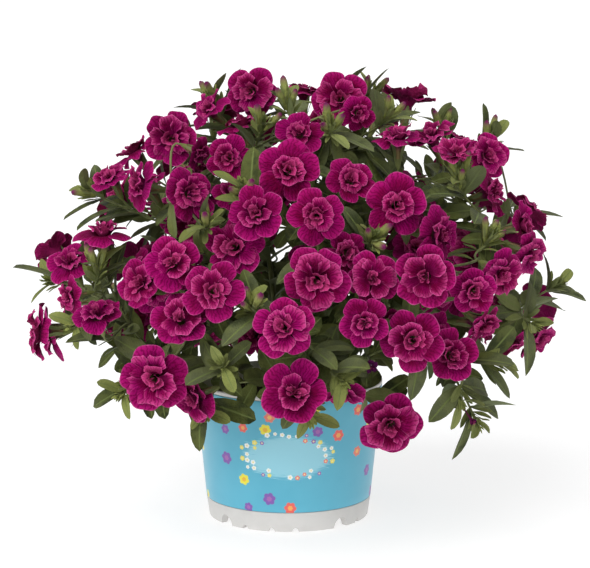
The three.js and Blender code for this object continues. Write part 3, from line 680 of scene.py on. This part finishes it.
def is_free(points, stem, own, own_flower, ease=1.0):
    points = np.array(points)
    if near_pot(points, pot_clearance):
        return False
    low, high = points.min(0) - search, points.max(0) + search
    beside = ((flower_centres > low - flower_reach)
              & (flower_centres < high + flower_reach)).all(1)
    for k in np.nonzero(beside)[0]:
        flower = plant_flowers[k]
        if flower is not own_flower and inside(points, flower, flower_clearance).any():
            return False
    spots, owner = taken[:taken_count, :3], taken[:taken_count, 4]
    close = taken[:taken_count][((spots > low) & (spots < high)).all(1) & (owner != own)]
    apart = np.sqrt(((points[:, None] - close[None, :, :3]) ** 2).sum(2))
    least = np.where(close[:, 3] == stem, own_stem_clearance, clearance) * ease
    return not (apart < least).any()


# The stems of a ring, the first one's bearing, and the curve of each: its reach and its height.
main_stems = []
stem_rings = ((6, 10, (27, 77), (32, 125), (70, 140), (100, 112)),
              (4, 35, (17, 77), (20, 130), (45, 175), (75, 190)),
              (2, 60, (6, 77), (8, 140), (18, 190), (30, 235)))
for count, first, *curve in stem_rings:
    for k in range(count):
        azimuth = math.radians(first + (360 / count) * k)
        stem = Limb([(r * math.sin(azimuth), -r * math.cos(azimuth), z) for r, z in curve],
                    [i / 5 for i in range(6)], is_main=True)
        stem.stem = stem.owner = len(main_stems)
        main_stems.append(stem)
        take([stem.at(i / 40) for i in range(40)], stem.stem, stem.owner)
limbs = list(main_stems)
owners = len(main_stems)


node_run, longest_run = 1.2, 36     # mm, of a twig's straight runs


def twig_stops(length, leaf_nodes):
    """A twig is straight on both sides of a leaf node, and bends between them."""
    stops = [0.0]
    for back in leaf_nodes:
        t = 1 - back / length
        before = stops[-1]
        plain = math.floor(((t - before) * length) / longest_run)
        for i in range(1, plain + 1):
            stops.append(before + ((t - before) * i) / (plain + 1))
        stops += [t - node_run / length, t + node_run / length]
    return stops + [1.0]


least_twig, bare_root, near_root, near_end = 14, 9, 4, 7
turn_cost, twig_cost = 14, 25       # mm of way that a turn, and a fork from a twig, are worth
tries = ((1, 16), (1, 8), (0.8, 16), (0.8, 26), (0.62, 16), (0.62, 8))    # ease, straight end


def grow_twig(end, heading, leaf_nodes, own_flower):
    """The twig that ends there by the nearest free way, or None."""
    global owners
    starts = []
    for limb in limbs:
        for root, tangent in limb.forks:
            cost = (distance(root, end) + turn_cost * dot(unit(sub(root, end)), heading)
                    + (0 if limb.is_main else twig_cost))
            starts.append((cost, limb, root, tangent))
    starts.sort(key=lambda start: start[0])
    for ease, lead in tries:
        for _, limb, root, tangent in starts:
            length = distance(root, end)
            if length < least_twig:
                continue
            away = unit(add(unit(sub(end, root)), tangent))
            kept = [back for back in leaf_nodes if back < length - bare_root]
            twig = Limb([root, add(root, away, 0.3 * length),
                         add(end, heading, -min(lead, 0.4 * length)), end],
                        twig_stops(length, kept))
            steps = max(3, math.ceil(length / 4))
            line = [twig.at(i / steps) for i in range(steps + 1)]
            outer = [point for point in line if distance(point, root) > near_root]
            if not is_free(outer, limb.stem, limb.owner, own_flower, ease):
                continue
            behind = [point for point in outer if distance(point, end) > near_end]
            if own_flower and behind and inside(behind, own_flower, own_flower_clearance).any():
                continue
            twig.stem, twig.owner, twig.leaf_nodes, twig.length = limb.stem, owners, kept, length
            owners += 1
            take(line, twig.stem, twig.owner)
            limbs.append(twig)
            return twig
    return None


shoot_nodes = [26, 13, 3]           # mm back from the tip
flower_twigs = [flower.twig() for flower in plant_flowers]
shoots = [grow_twig(tip, facing_of(yaw, pitch), shoot_nodes, None)
          for *tip, yaw, pitch in FRONT_SHOOTS]
seed(5501)
for point, normal in back_places(count=20, phase=100, lowest=-0.55):
    tip = add(point, normal, draw(0, 12))
    heading = unit(add(normal, (0.0, 0.0, draw(-0.2, 0.7))))
    shoots.append(grow_twig(tip, heading, shoot_nodes, None))
shoots = [shoot for shoot in shoots if shoot]

# Where along a leaf its room is tested, and half its width there, in shares of both.
leaf_stations = ((0.2, 0.3), (0.35, 0.48), (0.5, 0.5), (0.65, 0.48), (0.8, 0.36), (0.92, 0.18))
leaf_rise, leaf_slimness = 0.16, 0.34


def across_of(way):
    """A way square to this one, and level unless this one points nearly straight up."""
    return unit(cross((1.0, 0.0, 0.0) if abs(way[2]) > 0.9 else UP, way))


class Leaf:
    """A leaf that leaves a twig there, with its upper side to the light."""

    def __init__(self, twig, t, bearing, length, spread, slimness, droop):
        self.root, tangent = twig.at(t), twig.tangent(t)
        sideways = across_of(tangent)
        out = swing(sideways, cross(tangent, sideways), bearing)
        self.along = unit(swing(tangent, out, spread))
        light = add(unit(sub(self.root, crown_centre)), UP, 0.9)
        self.face = unit(add(light, self.along, -dot(light, self.along)))
        self.length, self.width, self.droop = length, length * slimness, droop

    def middle(self, t):
        return add(add(self.root, self.along, t * self.length), self.face,
                   (leaf_rise * t - self.droop * t * t) * self.length)

    def probes(self):
        side = cross(self.along, self.face)
        return [add(self.middle(t), side, k * half * self.width)
                for t, half in leaf_stations for k in (0, 1, -1)] + [self.middle(1)]


plant_leaves = []


def grow_leaf(twig, back, roll, length, spread):
    """A leaf, turned or made smaller until it finds room."""
    global owners
    for size in (1, 0.8, 0.62):
        for turn in (0, 25, -25, 50, -50, 75, -75):
            leaf = Leaf(twig, 1 - back / twig.length, math.radians(roll + turn),
                        length * size, math.radians(spread), leaf_slimness,
                        draw(0.08, 0.26))
            if is_free(leaf.probes(), twig.stem, twig.owner, None):
                take(leaf.probes(), twig.stem, owners)
                owners += 1
                plant_leaves.append((leaf, twig.stem))
                return


seed(7701)
for shoot in shoots:
    roll = draw(0, 360)
    for back in shoot.leaf_nodes:
        for i in range(2):
            length = draw(15, 21) if back == shoot_nodes[-1] else draw(27, 36)
            grow_leaf(shoot, back, roll + 180 * i, length, draw(42, 66))
        roll += 90
for twig in flower_twigs:
    roll = draw(0, 360)
    for back in twig.leaf_nodes:
        for i in range(2 if draw(0, 1) < 0.4 else 1):
            grow_leaf(twig, back, roll + 160 * i, draw(26, 34), draw(48, 72))

# More flowers open deeper in the crown, half hidden, wherever there is still room for their twigs.
inner_tries = 150
seed(6601)
for k in range(inner_tries):
    point, normal = crown_point(math.radians(GOLDEN_TURN * k), 1 - 1.5 * (k + 0.5) / inner_tries)
    centre = add(point, normal, -draw(16, 64))
    facing = add(normal, (draw(-0.5, 0.5), draw(-0.6, 0.3), draw(-0.1, 0.5)))
    flower = Flower(centre, facing, draw(27, 36))
    if not place_flower(flower, normal):
        continue
    known_centres = flower_centres
    flower_centres = np.array([flower.centre for flower in plant_flowers])
    twig = is_free(flower.probes, stem=-1, own=-1, own_flower=flower, ease=0.5) and flower.twig()
    if twig:
        flower_twigs.append(twig)
    else:
        plant_flowers.pop()
        flower_centres = known_centres

# --------------------------------------------------------------------- the stems and their leaves
# The green of the plant: thin hairy stems, a cup with five sepals under each flower, and narrow
# blunt leaves with a pale midrib, small and yellow-green where they are new, at the shoots' tips.
def sheet(across, along):
    """A flat sheet's points (across -1 to 1, along 0 to 1), its corners and those of each face."""
    pick()
    bpy.ops.mesh.primitive_grid_add(x_subdivisions=across, y_subdivisions=along, size=1)
    piece = bpy.context.object
    points = points_of(piece)
    corners = np.empty(len(piece.data.loops), int)
    piece.data.loops.foreach_get("vertex_index", corners)
    sizes = np.empty(len(piece.data.polygons), int)
    piece.data.polygons.foreach_get("loop_total", sizes)
    bpy.data.objects.remove(piece)
    return 2 * points[:, 0], points[:, 1] + 0.5, corners, sizes


class Sheets:
    """Many small sheets gathered into one mesh, each with its own shape and tone."""

    def __init__(self):
        self.points, self.corners, self.sizes, self.uvs = [], [], [], []
        self.tones, self.folds, self.count = [], [], 0

    def add(self, flat, points, tone, fold=0.0):
        across, along, corners, sizes = flat
        self.points.append(points)
        self.corners.append(corners + self.count)
        self.sizes.append(sizes)
        self.uvs.append(np.column_stack([across * 0.5 + 0.5, along])[corners])
        self.tones.append(np.broadcast_to(tone, len(points)))
        self.folds.append(np.broadcast_to(fold, len(points)))
        self.count += len(points)

    def piece(self, name):
        data = bpy.data.meshes.new(name)
        corners, sizes = np.concatenate(self.corners), np.concatenate(self.sizes)
        data.vertices.add(self.count)
        data.vertices.foreach_set("co", (np.concatenate(self.points) * MM).ravel())
        data.loops.add(len(corners))
        data.loops.foreach_set("vertex_index", corners)
        data.polygons.add(len(sizes))
        data.polygons.foreach_set("loop_start", np.concatenate([[0], np.cumsum(sizes)[:-1]]))
        data.update(calc_edges=True)
        data.uv_layers.new(name="UVMap").uv.foreach_set("vector", np.concatenate(self.uvs).ravel())
        for label, values in (("tone", self.tones), ("fold", self.folds)):
            layer = data.attributes.new(label, "FLOAT", "POINT")
            layer.data.foreach_set("value", np.concatenate(values))
        data.shade_smooth()
        piece = bpy.data.objects.new(name, data)
        bpy.context.collection.objects.link(piece)
        return piece


leaf_a, leaf_t, leaf_corners, leaf_sizes = sheet(4, 7)
leaf_t = 1 - (1 - leaf_t) ** 1.35              # closer rows where the tip rounds off
leaf_sheet = (leaf_a, leaf_t, leaf_corners, leaf_sizes)
blade_share = np.clip((leaf_t - 0.06) / 0.94, 0, 1)
stalk_power = 0.72


def leaf_outline(tip_power):
    """Half the width along a leaf, at most 1; a greater power draws out its tip."""
    widest = stalk_power / (stalk_power + tip_power)
    most = widest ** stalk_power * (1 - widest) ** tip_power
    return (blade_share ** stalk_power * (1 - blade_share) ** tip_power / most
            + 0.07 * (1 - leaf_t))


def add_leaf(sheets, leaf, tone):
    """A leaf arched along its middle, folded a little up from the midrib, with a wavy edge."""
    root, along, face = (np.array(part) for part in (leaf.root, leaf.along, leaf.face))
    length, half = leaf.length, leaf.width / 2 * 1.1
    rise = (leaf_rise * leaf_t - leaf.droop * leaf_t ** 2) * length
    outline = leaf_outline(0.64 + 0.17 * math.sin(37 * length))      # some blunt, some pointed
    wave = 0.35 * np.sin(7 * leaf_t + 2.1 * leaf_a + length) * np.abs(leaf_a) * outline
    fold = 0.28 * np.abs(leaf_a) * outline * half + wave
    sheets.add(leaf_sheet, root + np.outer(leaf_t * length, along) + np.outer(rise + fold, face)
               + np.outer(leaf_a * half * outline, np.cross(along, face)), tone)


# A calyx in the flower's own frame: a cup round the tube's foot, and five sepals up its sides.
cup_rings = ((-22.4, 0.9), (-20, 1.7), (-17, 2.4), (-14.6, 2.9))     # height, radius
cup_sides = 10
cup_points = np.array([(r * math.cos(2 * math.pi * i / cup_sides),
                        r * math.sin(2 * math.pi * i / cup_sides), z)
                       for z, r in cup_rings for i in range(cup_sides)])
cup_corners = np.array([(k + i, k + (i + 1) % cup_sides, k + cup_sides + (i + 1) % cup_sides,
                         k + cup_sides + i)
                        for k in range(0, len(cup_points) - cup_sides, cup_sides)
                        for i in range(cup_sides)])
cup_sheet = (np.full(len(cup_points), -0.6), np.full(len(cup_points), 0.5), cup_corners.ravel(),
             np.full(len(cup_corners), 4))
sepal_outline = leaf_outline(0.5)


def add_calyx(sheets, flower, tone):
    sheets.add(cup_sheet, flower.placed(cup_points), tone)
    for i in range(5):
        bearing = math.radians(FIFTH * i + FIFTH / 2) + draw(-0.15, 0.15)
        spread, length = draw(1.0, 5.0), draw(9.5, 13.5)
        out = 2.9 + spread * leaf_t ** 1.6 + 0.25 * np.abs(leaf_a)
        sideways = 1.35 * leaf_a * (0.9 * sepal_outline + 0.3 * (1 - leaf_t))
        x = out * math.cos(bearing) + sideways * math.sin(bearing)
        y = out * math.sin(bearing) - sideways * math.cos(bearing)
        z = -15 + length * leaf_t
        sheets.add(leaf_sheet, flower.placed(np.column_stack([x, y, z])), tone)


# The green between its dark and light, with a midrib, faint side veins and paler undersides.
leaf_green = Finish("leaf_green", {"Roughness": 0.66, "Specular IOR Level": 0.16,
                                   "Sheen Weight": 0.05})
across, along = leaf_green.split(leaf_green.node("UVMap").outputs["UV"])
from_rib = leaf_green.maths("ABSOLUTE", leaf_green.maths("SUBTRACT", across, 0.5))
rib = leaf_green.ramp(from_rib, 0.07, 0.015)
slant = leaf_green.maths("MULTIPLY_ADD", from_rib, -0.9, along)
veins = leaf_green.maths("SINE", leaf_green.maths("MULTIPLY", slant, 44))
bloom = leaf_green.maths("MULTIPLY", leaf_green.blotches(26, 2.0, 0.45, 0.65), 0.45)
newness = leaf_green.node("Attribute", attribute_name="tone").outputs["Fac"]
under = leaf_green.maths("MULTIPLY", leaf_green.node("NewGeometry").outputs["Backfacing"], 0.6)
colour = leaf_green.blend(leaf_green.blotches(120, 3.0), (0.028, 0.038, 0.010),
                          (0.092, 0.108, 0.026))
for share, tint in ((leaf_green.ramp(veins, 0.86, 1.0, 0.35), (0.082, 0.115, 0.022)),
                    (bloom, (0.178, 0.198, 0.098)), (newness, (0.355, 0.395, 0.105)),
                    (rib, (0.15, 0.19, 0.055)), (under, (0.160, 0.188, 0.084))):
    colour = leaf_green.blend(share, colour, tint)
leaf_green.surface(colour, 0.35, 0.6 * MM,
                   leaf_green.maths("ADD", leaf_green.blotches(900, 2.0), rib))

stem_green = Finish("stem_green", {"Roughness": 0.6, "Specular IOR Level": 0.35,
                                   "Sheen Weight": 0.15})
stem_green.surface(
    stem_green.blend(stem_green.blotches(140), (0.100, 0.120, 0.032), (0.185, 0.205, 0.065)),
    0.4, 0.4 * MM, stem_green.blotches(1500, 2.0))

new_length, new_tone = 21.5, 0.45    # leaves up to this many mm are new
leaf_sheets = [Sheets() for _ in main_stems]
for leaf, stem in plant_leaves:
    add_leaf(leaf_sheets[stem], leaf, 0.0 if leaf.length > new_length else new_tone)

# Smaller leaves in pairs all along the stems and twigs, kept clear of the flowers and the pot.
pair_pace, first_pair, bare_end, small_until = 7.0, 5.0, 3, 12        # mm along a twig
leafy_share = 0.91                  # how far out in the crown they still grow: 1 on its outline
leaf_search = 62                    # mm to the flowers that may be in a leaf's way


def crown_share(point):
    depth, reach = crown_reach(point[1] < 0, point[2] > crown_centre[2])
    return math.sqrt(((point[0] - crown_centre[0]) / crown_width) ** 2 + (point[1] / depth) ** 2
                     + ((point[2] - crown_centre[2]) / reach) ** 2)


seed(9901)
for limb in limbs:
    limb.length = sum(distance(a, b) for a, b in zip(limb.bends, limb.bends[1:]))
    so_far, bearing = (0.3 * limb.length if limb.is_main else first_pair), draw(0, 360)
    while so_far < limb.length - bare_end:
        for side_turn in (0, 180):
            length = draw(17, 29) if so_far > small_until else draw(12, 20)
            leaf = Leaf(limb, so_far / limb.length,
                        math.radians(bearing + side_turn + draw(-20, 20)),
                        length, draw(0.75, 1.2), draw(0.36, 0.44), draw(0.05, 0.3))
            tilt = draw(-0.8, 0.8)
            leaf.face = unit(add(leaf.face, cross(leaf.along, leaf.face), tilt))
            spots = leaf.probes()
            beside = np.linalg.norm(flower_centres - np.array(leaf.root), axis=1) < leaf_search
            if (crown_share(spots[-1]) < leafy_share and not near_pot(spots, 1.0)
                    and not any(inside(spots, plant_flowers[k], 0.8).any()
                                for k in np.nonzero(beside)[0])):
                add_leaf(leaf_sheets[limb.stem], leaf, draw(0, 0.22))
        so_far += draw(0.8, 1.25) * pair_pace
        bearing += 90

# A tuft of narrow new leaves ends each shoot.
tuft_leaves, leaf_turn = 20, 137.5
for shoot in shoots:
    bearing = draw(0, 360)
    for k in range(tuft_leaves):
        bearing += leaf_turn
        leaf = Leaf(shoot, 1 - (0.3 + 0.75 * k) / shoot.length, math.radians(bearing),
                    5.5 + 0.48 * k + draw(-0.8, 1.6), 0.2 + 0.045 * k, draw(0.22, 0.3),
                    draw(-0.15, 0.12))
        add_leaf(leaf_sheets[shoot.stem], leaf, 0.95 - 0.035 * k)
for twig, flower in zip(flower_twigs, plant_flowers):
    add_calyx(leaf_sheets[twig.stem], flower, 0.25)

# Two or three closed buds stand at the end of the shoots that look up, each in its own calyx.
least_rise, bud_node = 0.25, 9      # of the way a shoot points, and mm back from its tip
buds = []
for k, shoot in enumerate(shoots):
    tip, heading = shoot.at(1 - bud_node / shoot.length), shoot.tangent(1)
    shoot.has_buds = heading[2] >= least_rise
    if not shoot.has_buds:
        continue
    aside = across_of(heading)
    first = draw(0, 6.28)
    for i in range(2 + k % 2):
        lean = swing(aside, cross(heading, aside), first + 2.1 * i)
        way = unit(add(heading, lean, draw(0.25, 0.6)))
        size = draw(19, 27)
        bud = Flower(add(tip, way, (calyx_back + draw(0, 8)) * size / drawn_diameter), way, size)
        add_calyx(leaf_sheets[shoot.stem], bud, 0.9)
        buds.append((bud, shoot.stem))

# A main stem and its twigs are one bevelled curve, rooted in the peat and made a mesh.
main_sizes, twig_sizes = (2.0, 1.2), (0.85, 0.65)      # mm of radius at the root and at the tip
root_depth = 8 * MM
for k in range(len(main_stems)):
    route = bpy.data.curves.new(f"foliage_{k + 1:02d}", "CURVE")
    route.dimensions, route.use_fill_caps = "3D", True
    route.bevel_depth, route.bevel_resolution, route.resolution_u = MM, 1, 9
    for limb in limbs:
        if limb.stem != k:
            continue
        thick, thin = main_sizes if limb.is_main else twig_sizes
        a, b, c, d = (tuple(value * MM for value in point) for point in limb.controls)
        knots = [(a, a, b, thick), (d, c, d, thin)]
        if limb.is_main:
            foot = (a[0], a[1], a[2] - root_depth)
            knots.insert(0, (foot, foot, foot, thick))
        line = route.splines.new("BEZIER")
        line.bezier_points.add(len(knots) - 1)
        for knot, (spot, before, after, size) in zip(line.bezier_points, knots):
            knot.handle_left_type = knot.handle_right_type = "FREE"
            knot.co, knot.handle_left, knot.handle_right, knot.radius = spot, before, after, size
    stems = bpy.data.objects.new(route.name, route)
    bpy.context.collection.objects.link(stems)
    pick(stems)
    bpy.ops.object.convert(target="MESH")
    stems = bpy.context.object
    stems.data.shade_smooth()
    hand_over(stems, stem_green, "foliage", f"leafy_stem_{k + 1:02d}")
    hand_over(leaf_sheets[k].piece(f"leaves_{k + 1:02d}"), leaf_green, "foliage",
              f"leafy_stem_{k + 1:02d}")

# ------------------------------------------------------------------------------- the flowers
# Double flowers: five broad lobes that open flat from a narrow tube and just overlap, and a
# rosette of smaller folded petals on top. The petals are thin, soft and finely hairy.
lobe_sheet, inner_sheet, small_sheet, tube_sheet = (
    sheet(14, 9), sheet(9, 6), sheet(7, 5), sheet(12, 3))
throat_radius, rosette_foot = 3.4, 2.6
spent_tone, wilted_below = -1.3, -0.9
spent_radius = 11.5                 # mm; a flower of the plan that is smaller is a spent one


def round_edge(a, power):
    """1 in the middle of a petal's end and 0 at its corners, round between them."""
    return (1 - np.minimum(1, np.abs(a)) ** power) ** 0.6


def ripple(a, least, most, beats):
    """Waves across a petal, of a drawn height and a drawn start."""
    return draw(least, most) * np.sin(beats * a + draw(0, 6.28))


def add_flower(petals, flower, tone, wilt=0.0):
    """A flower's lobes, its rosette and its tube. A petal's radius and height, in the flower's
    own measures, follow from where a spot lies across it (a) and along it (t)."""
    def lay(flat, angle, r, z, tint, fold):
        t = flat[1]
        crumple = wilt * t * (1.6 * np.sin(5 * angle + 6 * t) + 1.1 * np.sin(11 * angle - 9 * t))
        z = z + wilt * 0.6 * r + 0.8 * crumple
        r = r * (1 - 0.74 * wilt) + 0.4 * crumple
        points = np.column_stack([r * np.cos(angle), r * np.sin(angle), z])
        petals.add(flat, flower.placed(points), tint, fold)

    cup = draw(-2.5, 4.5)                                # some open flat, others stay cupped
    wavy = draw(0.3, 1.15)                               # and some keep a smoother edge
    for i in range(5):
        a, t = lobe_sheet[:2]
        opening = t * t * (3 - 2 * t)
        half = 39.6 + draw(-2.6, 3) + draw(-3, 4) * opening
        angle = np.radians(FIFTH * i + FIFTH + draw(-6, 6) - a * half)
        end = 11.2 + draw(5.9, 7.9) * round_edge(a, 2.2) + ripple(a, 0.15, 0.5, 7)
        r = throat_radius + (end - throat_radius) * t
        throat = 1 - np.clip((r - throat_radius) / 5, 0, 1)
        # It bends out of the throat and down at its end, folds and tilts, droops, and ruffles.
        z = (0.2 - 5.2 * throat ** 2 - 1.6 * np.clip((r - 8) / 10, 0, 1) ** 2
             - draw(-0.6, 3.0) * a * a * t + draw(0.5, 1.6) * a * t
             + wavy * draw(-3.2, 3.2) * t * t
             + wavy * (ripple(a, 0.6, 1.7, 3.1) + ripple(a, 0.4, 1.0, 6.8)) * t * t
             + wavy * ripple(a, 0.2, 0.7, 9) * t ** 3
             + ripple(a, 0.15, 0.4, 5.5) * np.sin(7 * t) * t
             + 0.6 * flower.ruffle[2 * i] * t * t + cup * np.clip((r - 5) / 13, 0, 1) ** 2)
        lay(lobe_sheet, angle, r, z, tone + draw(-0.15, 0.15), 0.0)

    full = draw(0.76, 1.3)
    lean_x, lean_y = draw(-0.3, 0.3), draw(-0.3, 0.3)    # the rosette seldom sits quite straight
    for i in range(5):
        a, t = inner_sheet[:2]
        angle = np.radians(FIFTH * (i + 0.5) + draw(-20, 20) - a * (draw(27, 46) + 9 * t))
        end = full * (draw(6.2, 9.2) + draw(2.8, 4.4) * round_edge(a, 2.3)
                      + ripple(a, 0.3, 0.7, 9))
        r = rosette_foot + (end - rosette_foot) * t ** 0.85
        # It stands up, bends back at its end, folds, tilts and ruffles, and leans as the rosette.
        z = (-1.5 + draw(4.4, 7.4) * np.sin(1.65 * t) - draw(0.6, 2.2) * t ** 4
             + draw(-0.5, 2.0) * a * a * t + draw(0.4, 1.4) * a * t
             + (draw(0.6, 2.0) * np.sin(draw(2.4, 3.8) * a + draw(0, 6.28))
                + ripple(a, 0.6, 1.5, 7.4)) * t * t
             + (lean_x * np.cos(angle) + lean_y * np.sin(angle)) * r * t)
        lay(inner_sheet, angle, r, z, tone + draw(-0.2, 0.25), 0.8)

    twist, off = draw(0, 6.28), draw(0.3, 1.7)
    is_split = draw(0, 1) < 0.4                          # some rosettes fold round two middles
    size, count, off = (0.72, 4, off + 0.9) if is_split else (1.0, 6, off)
    for swirl in (-1, 1) if is_split else (1,):
        for k in range(count):                           # in a spiral, lower further out
            a, t = small_sheet[:2]
            turn = twist + math.radians(leaf_turn * k + draw(-20, 20)) + a * math.radians(82 - 6 * k)
            r = size * (0.7 + 0.95 * k) * (0.7 + 0.5 * t)
            r = r + draw(0.2, 1.6) * t ** 3 * round_edge(a, 2)
            r = r + (0.6 * np.sin(4.4 * a + draw(0, 6.28))
                     + 0.35 * np.sin(9.5 * a + draw(0, 6.28))) * t * size
            z = (0.4 + (draw(5.0, 6.8) - 0.45 * k) * t - draw(0.3, 1.6) * a * a * t
                 + ripple(a, 0.5, 1.2, 5.0) * t)
            x = r * np.cos(turn) + swirl * off * math.cos(twist) * t
            y = r * np.sin(turn) + swirl * off * math.sin(twist) * t
            z = z + (lean_x * x + lean_y * y) * t
            lay(small_sheet, np.arctan2(y, x), np.hypot(x, y), z, tone + draw(-0.1, 0.35), 1.0)

    a, t = tube_sheet[:2]
    lay(tube_sheet, -math.pi * a, 2.5 + 1.0 * t, -15.4 + 10.6 * t, tone, -1.0)


# Magenta with darker veins and pale rims, the rims partly a painted highlight; lighter in the rosette,
# darker at each petal's foot and in some whole flowers as painted shade, with violet blotches of painted
# sheen; the tube turns green.
petal = Finish("petal", {
    "Roughness": 0.75, "Specular IOR Level": 0.03, "Sheen Weight": 0.08, "Sheen Roughness": 0.45,
    "Sheen Tint": (0.85, 0.22, 0.50)})
across, along = petal.split(petal.node("UVMap").outputs["UV"])
tone, fold = (petal.node("Attribute", attribute_name=label).outputs["Fac"]
              for label in ("tone", "fold"))
is_inner = petal.ramp(fold, 0.0, 1.0)
is_tube = petal.maths("LESS_THAN", fold, -0.5)
is_wilted = petal.maths("LESS_THAN", tone, wilted_below)
# Each petal darkens towards its foot: painted shade in the throat and under the rosette, where the
# petals crowd.
outwards = petal.ramp(along, 0.45, 1.0)
outer = petal.blend(outwards, (0.130, 0.0, 0.026), (0.265, 0.0, 0.068))
inner = petal.blend(outwards, (0.20, 0.0, 0.046), (0.49, 0.026, 0.165))
colour = petal.blend(is_inner, outer, inner)
# A flower of low drawn tone is darkened towards deep crimson: painted shade, standing for flowers that
# sit in the crown's shade.
painted_shade_deep = petal.blend(0.7, colour, (0.095, 0.0, 0.022))
colour = petal.blend(petal.ramp(tone, -0.5, 0.3), painted_shade_deep, colour)

waver = petal.maths("MULTIPLY_ADD", petal.blotches(300, 3.0), 4.6,
                    petal.maths("MULTIPLY", across, 60))
vein = petal.ramp(petal.maths("SINE", waver), 0.0, 1.0, 0.66)
between = petal.maths("MULTIPLY", petal.ramp(along, 0.6, 1.05, 0.8, soft=True),
                      petal.maths("SUBTRACT", 1.0, vein))
streak = petal.blend(is_inner, (0.41, 0.010, 0.155), (0.64, 0.075, 0.270))
from_middle = petal.maths("ABSOLUTE", petal.maths("SUBTRACT", across, 0.5))
ends = petal.maths("MAXIMUM", petal.maths("MULTIPLY", from_middle, 2 * 0.985), along)
# Pale petal edges, partly the petals' own paler edge and partly a painted highlight: uneven in blotches
# and stronger on the folded rosette petals.
rim_strength_with_highlight = petal.maths("MULTIPLY_ADD", petal.blotches(150, 3.0), 0.5,
                   petal.maths("MULTIPLY_ADD", is_inner, 0.35, 0.12))
rim = petal.maths("MULTIPLY", petal.maths("MULTIPLY", petal.ramp(ends, 0.955, 1.0), rim_strength_with_highlight),
                  petal.maths("GREATER_THAN", along, 0.3))
tube = petal.blend(petal.ramp(along, 0.5, 0.95, soft=True), (0.26, 0.29, 0.085),
                   (0.17, 0.018, 0.095))
underside = petal.maths("MULTIPLY", petal.node("NewGeometry").outputs["Backfacing"], 0.42)
pale_side = petal.blend(is_inner, (0.20, 0.015, 0.075), (0.62, 0.060, 0.225))
for share, tint in (
        # Broad violet blotches: a painted sheen, as lit lobes show.
        (petal.maths("MULTIPLY", petal.blotches(24, 1.0, 0.42, 0.6), 0.35), (0.32, 0.001, 0.145)),
        (petal.maths("MULTIPLY", petal.blotches(210, 4.0), 0.25), (0.38, 0.006, 0.170)),
        (vein, (0.085, 0.0, 0.022)), (between, streak), (rim, (0.68, 0.16, 0.39)),
        (is_tube, tube), (is_wilted, (0.075, 0.008, 0.060)), (underside, pale_side)):
    colour = petal.blend(share, colour, tint)
petal.surface(colour, 0.5, 0.7 * MM, petal.maths("SUBTRACT", petal.blotches(520, 4.0), vein))

seed(2501)
own_flowers = 0
shared_petals = [Sheets() for _ in main_stems]
for twig, flower in zip(flower_twigs, plant_flowers):
    is_spent = flower.radius < spent_radius
    tone = spent_tone if is_spent else draw(-0.5, 0.4)
    petals = Sheets() if flower.own_node else shared_petals[twig.stem]
    add_flower(petals, flower, tone, 0.85 if is_spent else 0.0)
    if flower.own_node:
        own_flowers += 1
        hand_over(petals.piece(f"flower_{own_flowers:02d}"), petal, "petals",
                  f"bloom_{own_flowers:02d}")

# A closed bud is a ribbed green tube that turns purple where its petals are folded.
bud_outline = ((-18, 1.6), (-13, 2.9), (-8, 3.2), (-3, 3.0), (1, 2.9), (4, 2.2), (6, 0.3))
bud_sheet = sheet(10, len(bud_outline) - 1)
bud_a, bud_t = bud_sheet[:2]
bud_z, bud_r = (np.interp(bud_t, np.linspace(0, 1, len(bud_outline)), line)
                for line in zip(*bud_outline))
ribbed = bud_r * (1 + 0.12 * np.cos(5 * math.pi * bud_a))
twisted = math.pi * bud_a + 0.9 * bud_t
bud_points = np.column_stack([ribbed * np.cos(twisted), ribbed * np.sin(twisted), bud_z])
for bud, stem in buds:
    shared_petals[stem].add(bud_sheet, bud.placed(bud_points), 0.2, -1.0)

# A spent flower ends one in four of the shoots, if it carries no buds.
for k, shoot in enumerate(shoots):
    if k % 4 == 1 and not shoot.has_buds:
        size = draw(15, 18)
        small = Flower(add(shoot.at(1), shoot.tangent(1), calyx_back * size / drawn_diameter),
                       shoot.tangent(1), size)
        add_flower(shared_petals[shoot.stem], small, spent_tone, 1.0)
for k, petals in enumerate(shared_petals):
    if petals.count:
        hand_over(petals.piece(f"flowers_of_stem_{k + 1:02d}"), petal, "petals",
                  f"leafy_stem_{k + 1:02d}")

# ------------------------------------------------------------------------ the floor and the light
# A pale floor that the pot stands on, lit a little from below as a light table is, large soft
# lamps over it, and the camera.
pick()
bpy.ops.mesh.primitive_plane_add(size=40)
pale_floor = bpy.context.object
pale_floor.name = "pale_floor"
paper = Finish("pale_paper", {
    "Roughness": 0.9, "Specular IOR Level": 0.2, "Emission Color": (1.0, 1.0, 1.0),
    "Emission Strength": 0.66})
paper.feed(paper.shader.inputs["Base Color"],
           paper.blend(paper.blotches(3), (0.44, 0.44, 0.44), (0.46, 0.46, 0.46)))
pale_floor.data.materials.append(paper.material)

world = bpy.data.worlds.new("soft_room")
bpy.context.scene.world = world
world.use_nodes = True
world.node_tree.nodes["Background"].inputs["Color"].default_value = (0.98, 0.99, 1.0, 1)
world.node_tree.nodes["Background"].inputs["Strength"].default_value = 0.27
for name, spot, softness, power in (("key", (-0.8, -1.2, 1.4), 56, 2.6),
                                    ("fill", (1.3, -1.0, 0.8), 60, 0.5),
                                    ("back", (0.3, 1.3, 1.3), 60, 0.9)):
    to_plant = Vector((0, 0, 0.15)) - Vector(spot)
    bpy.ops.object.light_add(type="SUN", location=spot,
                             rotation=to_plant.to_track_quat("-Z", "Y").to_euler())
    lamp = bpy.context.object
    lamp.name = name
    lamp.data.energy, lamp.data.angle = power, math.radians(softness)

downwards = 9.51                    # degrees
bpy.ops.object.camera_add(location=(0.0041, -1.5, 0.4),
                          rotation=(math.radians(90 - downwards), 0, 0))
camera = bpy.context.object
camera.data.sensor_width, camera.data.lens = 36, 146
bpy.context.scene.camera = camera
bpy.context.scene.view_settings.view_transform = "Standard"    # plain colours, as on a print
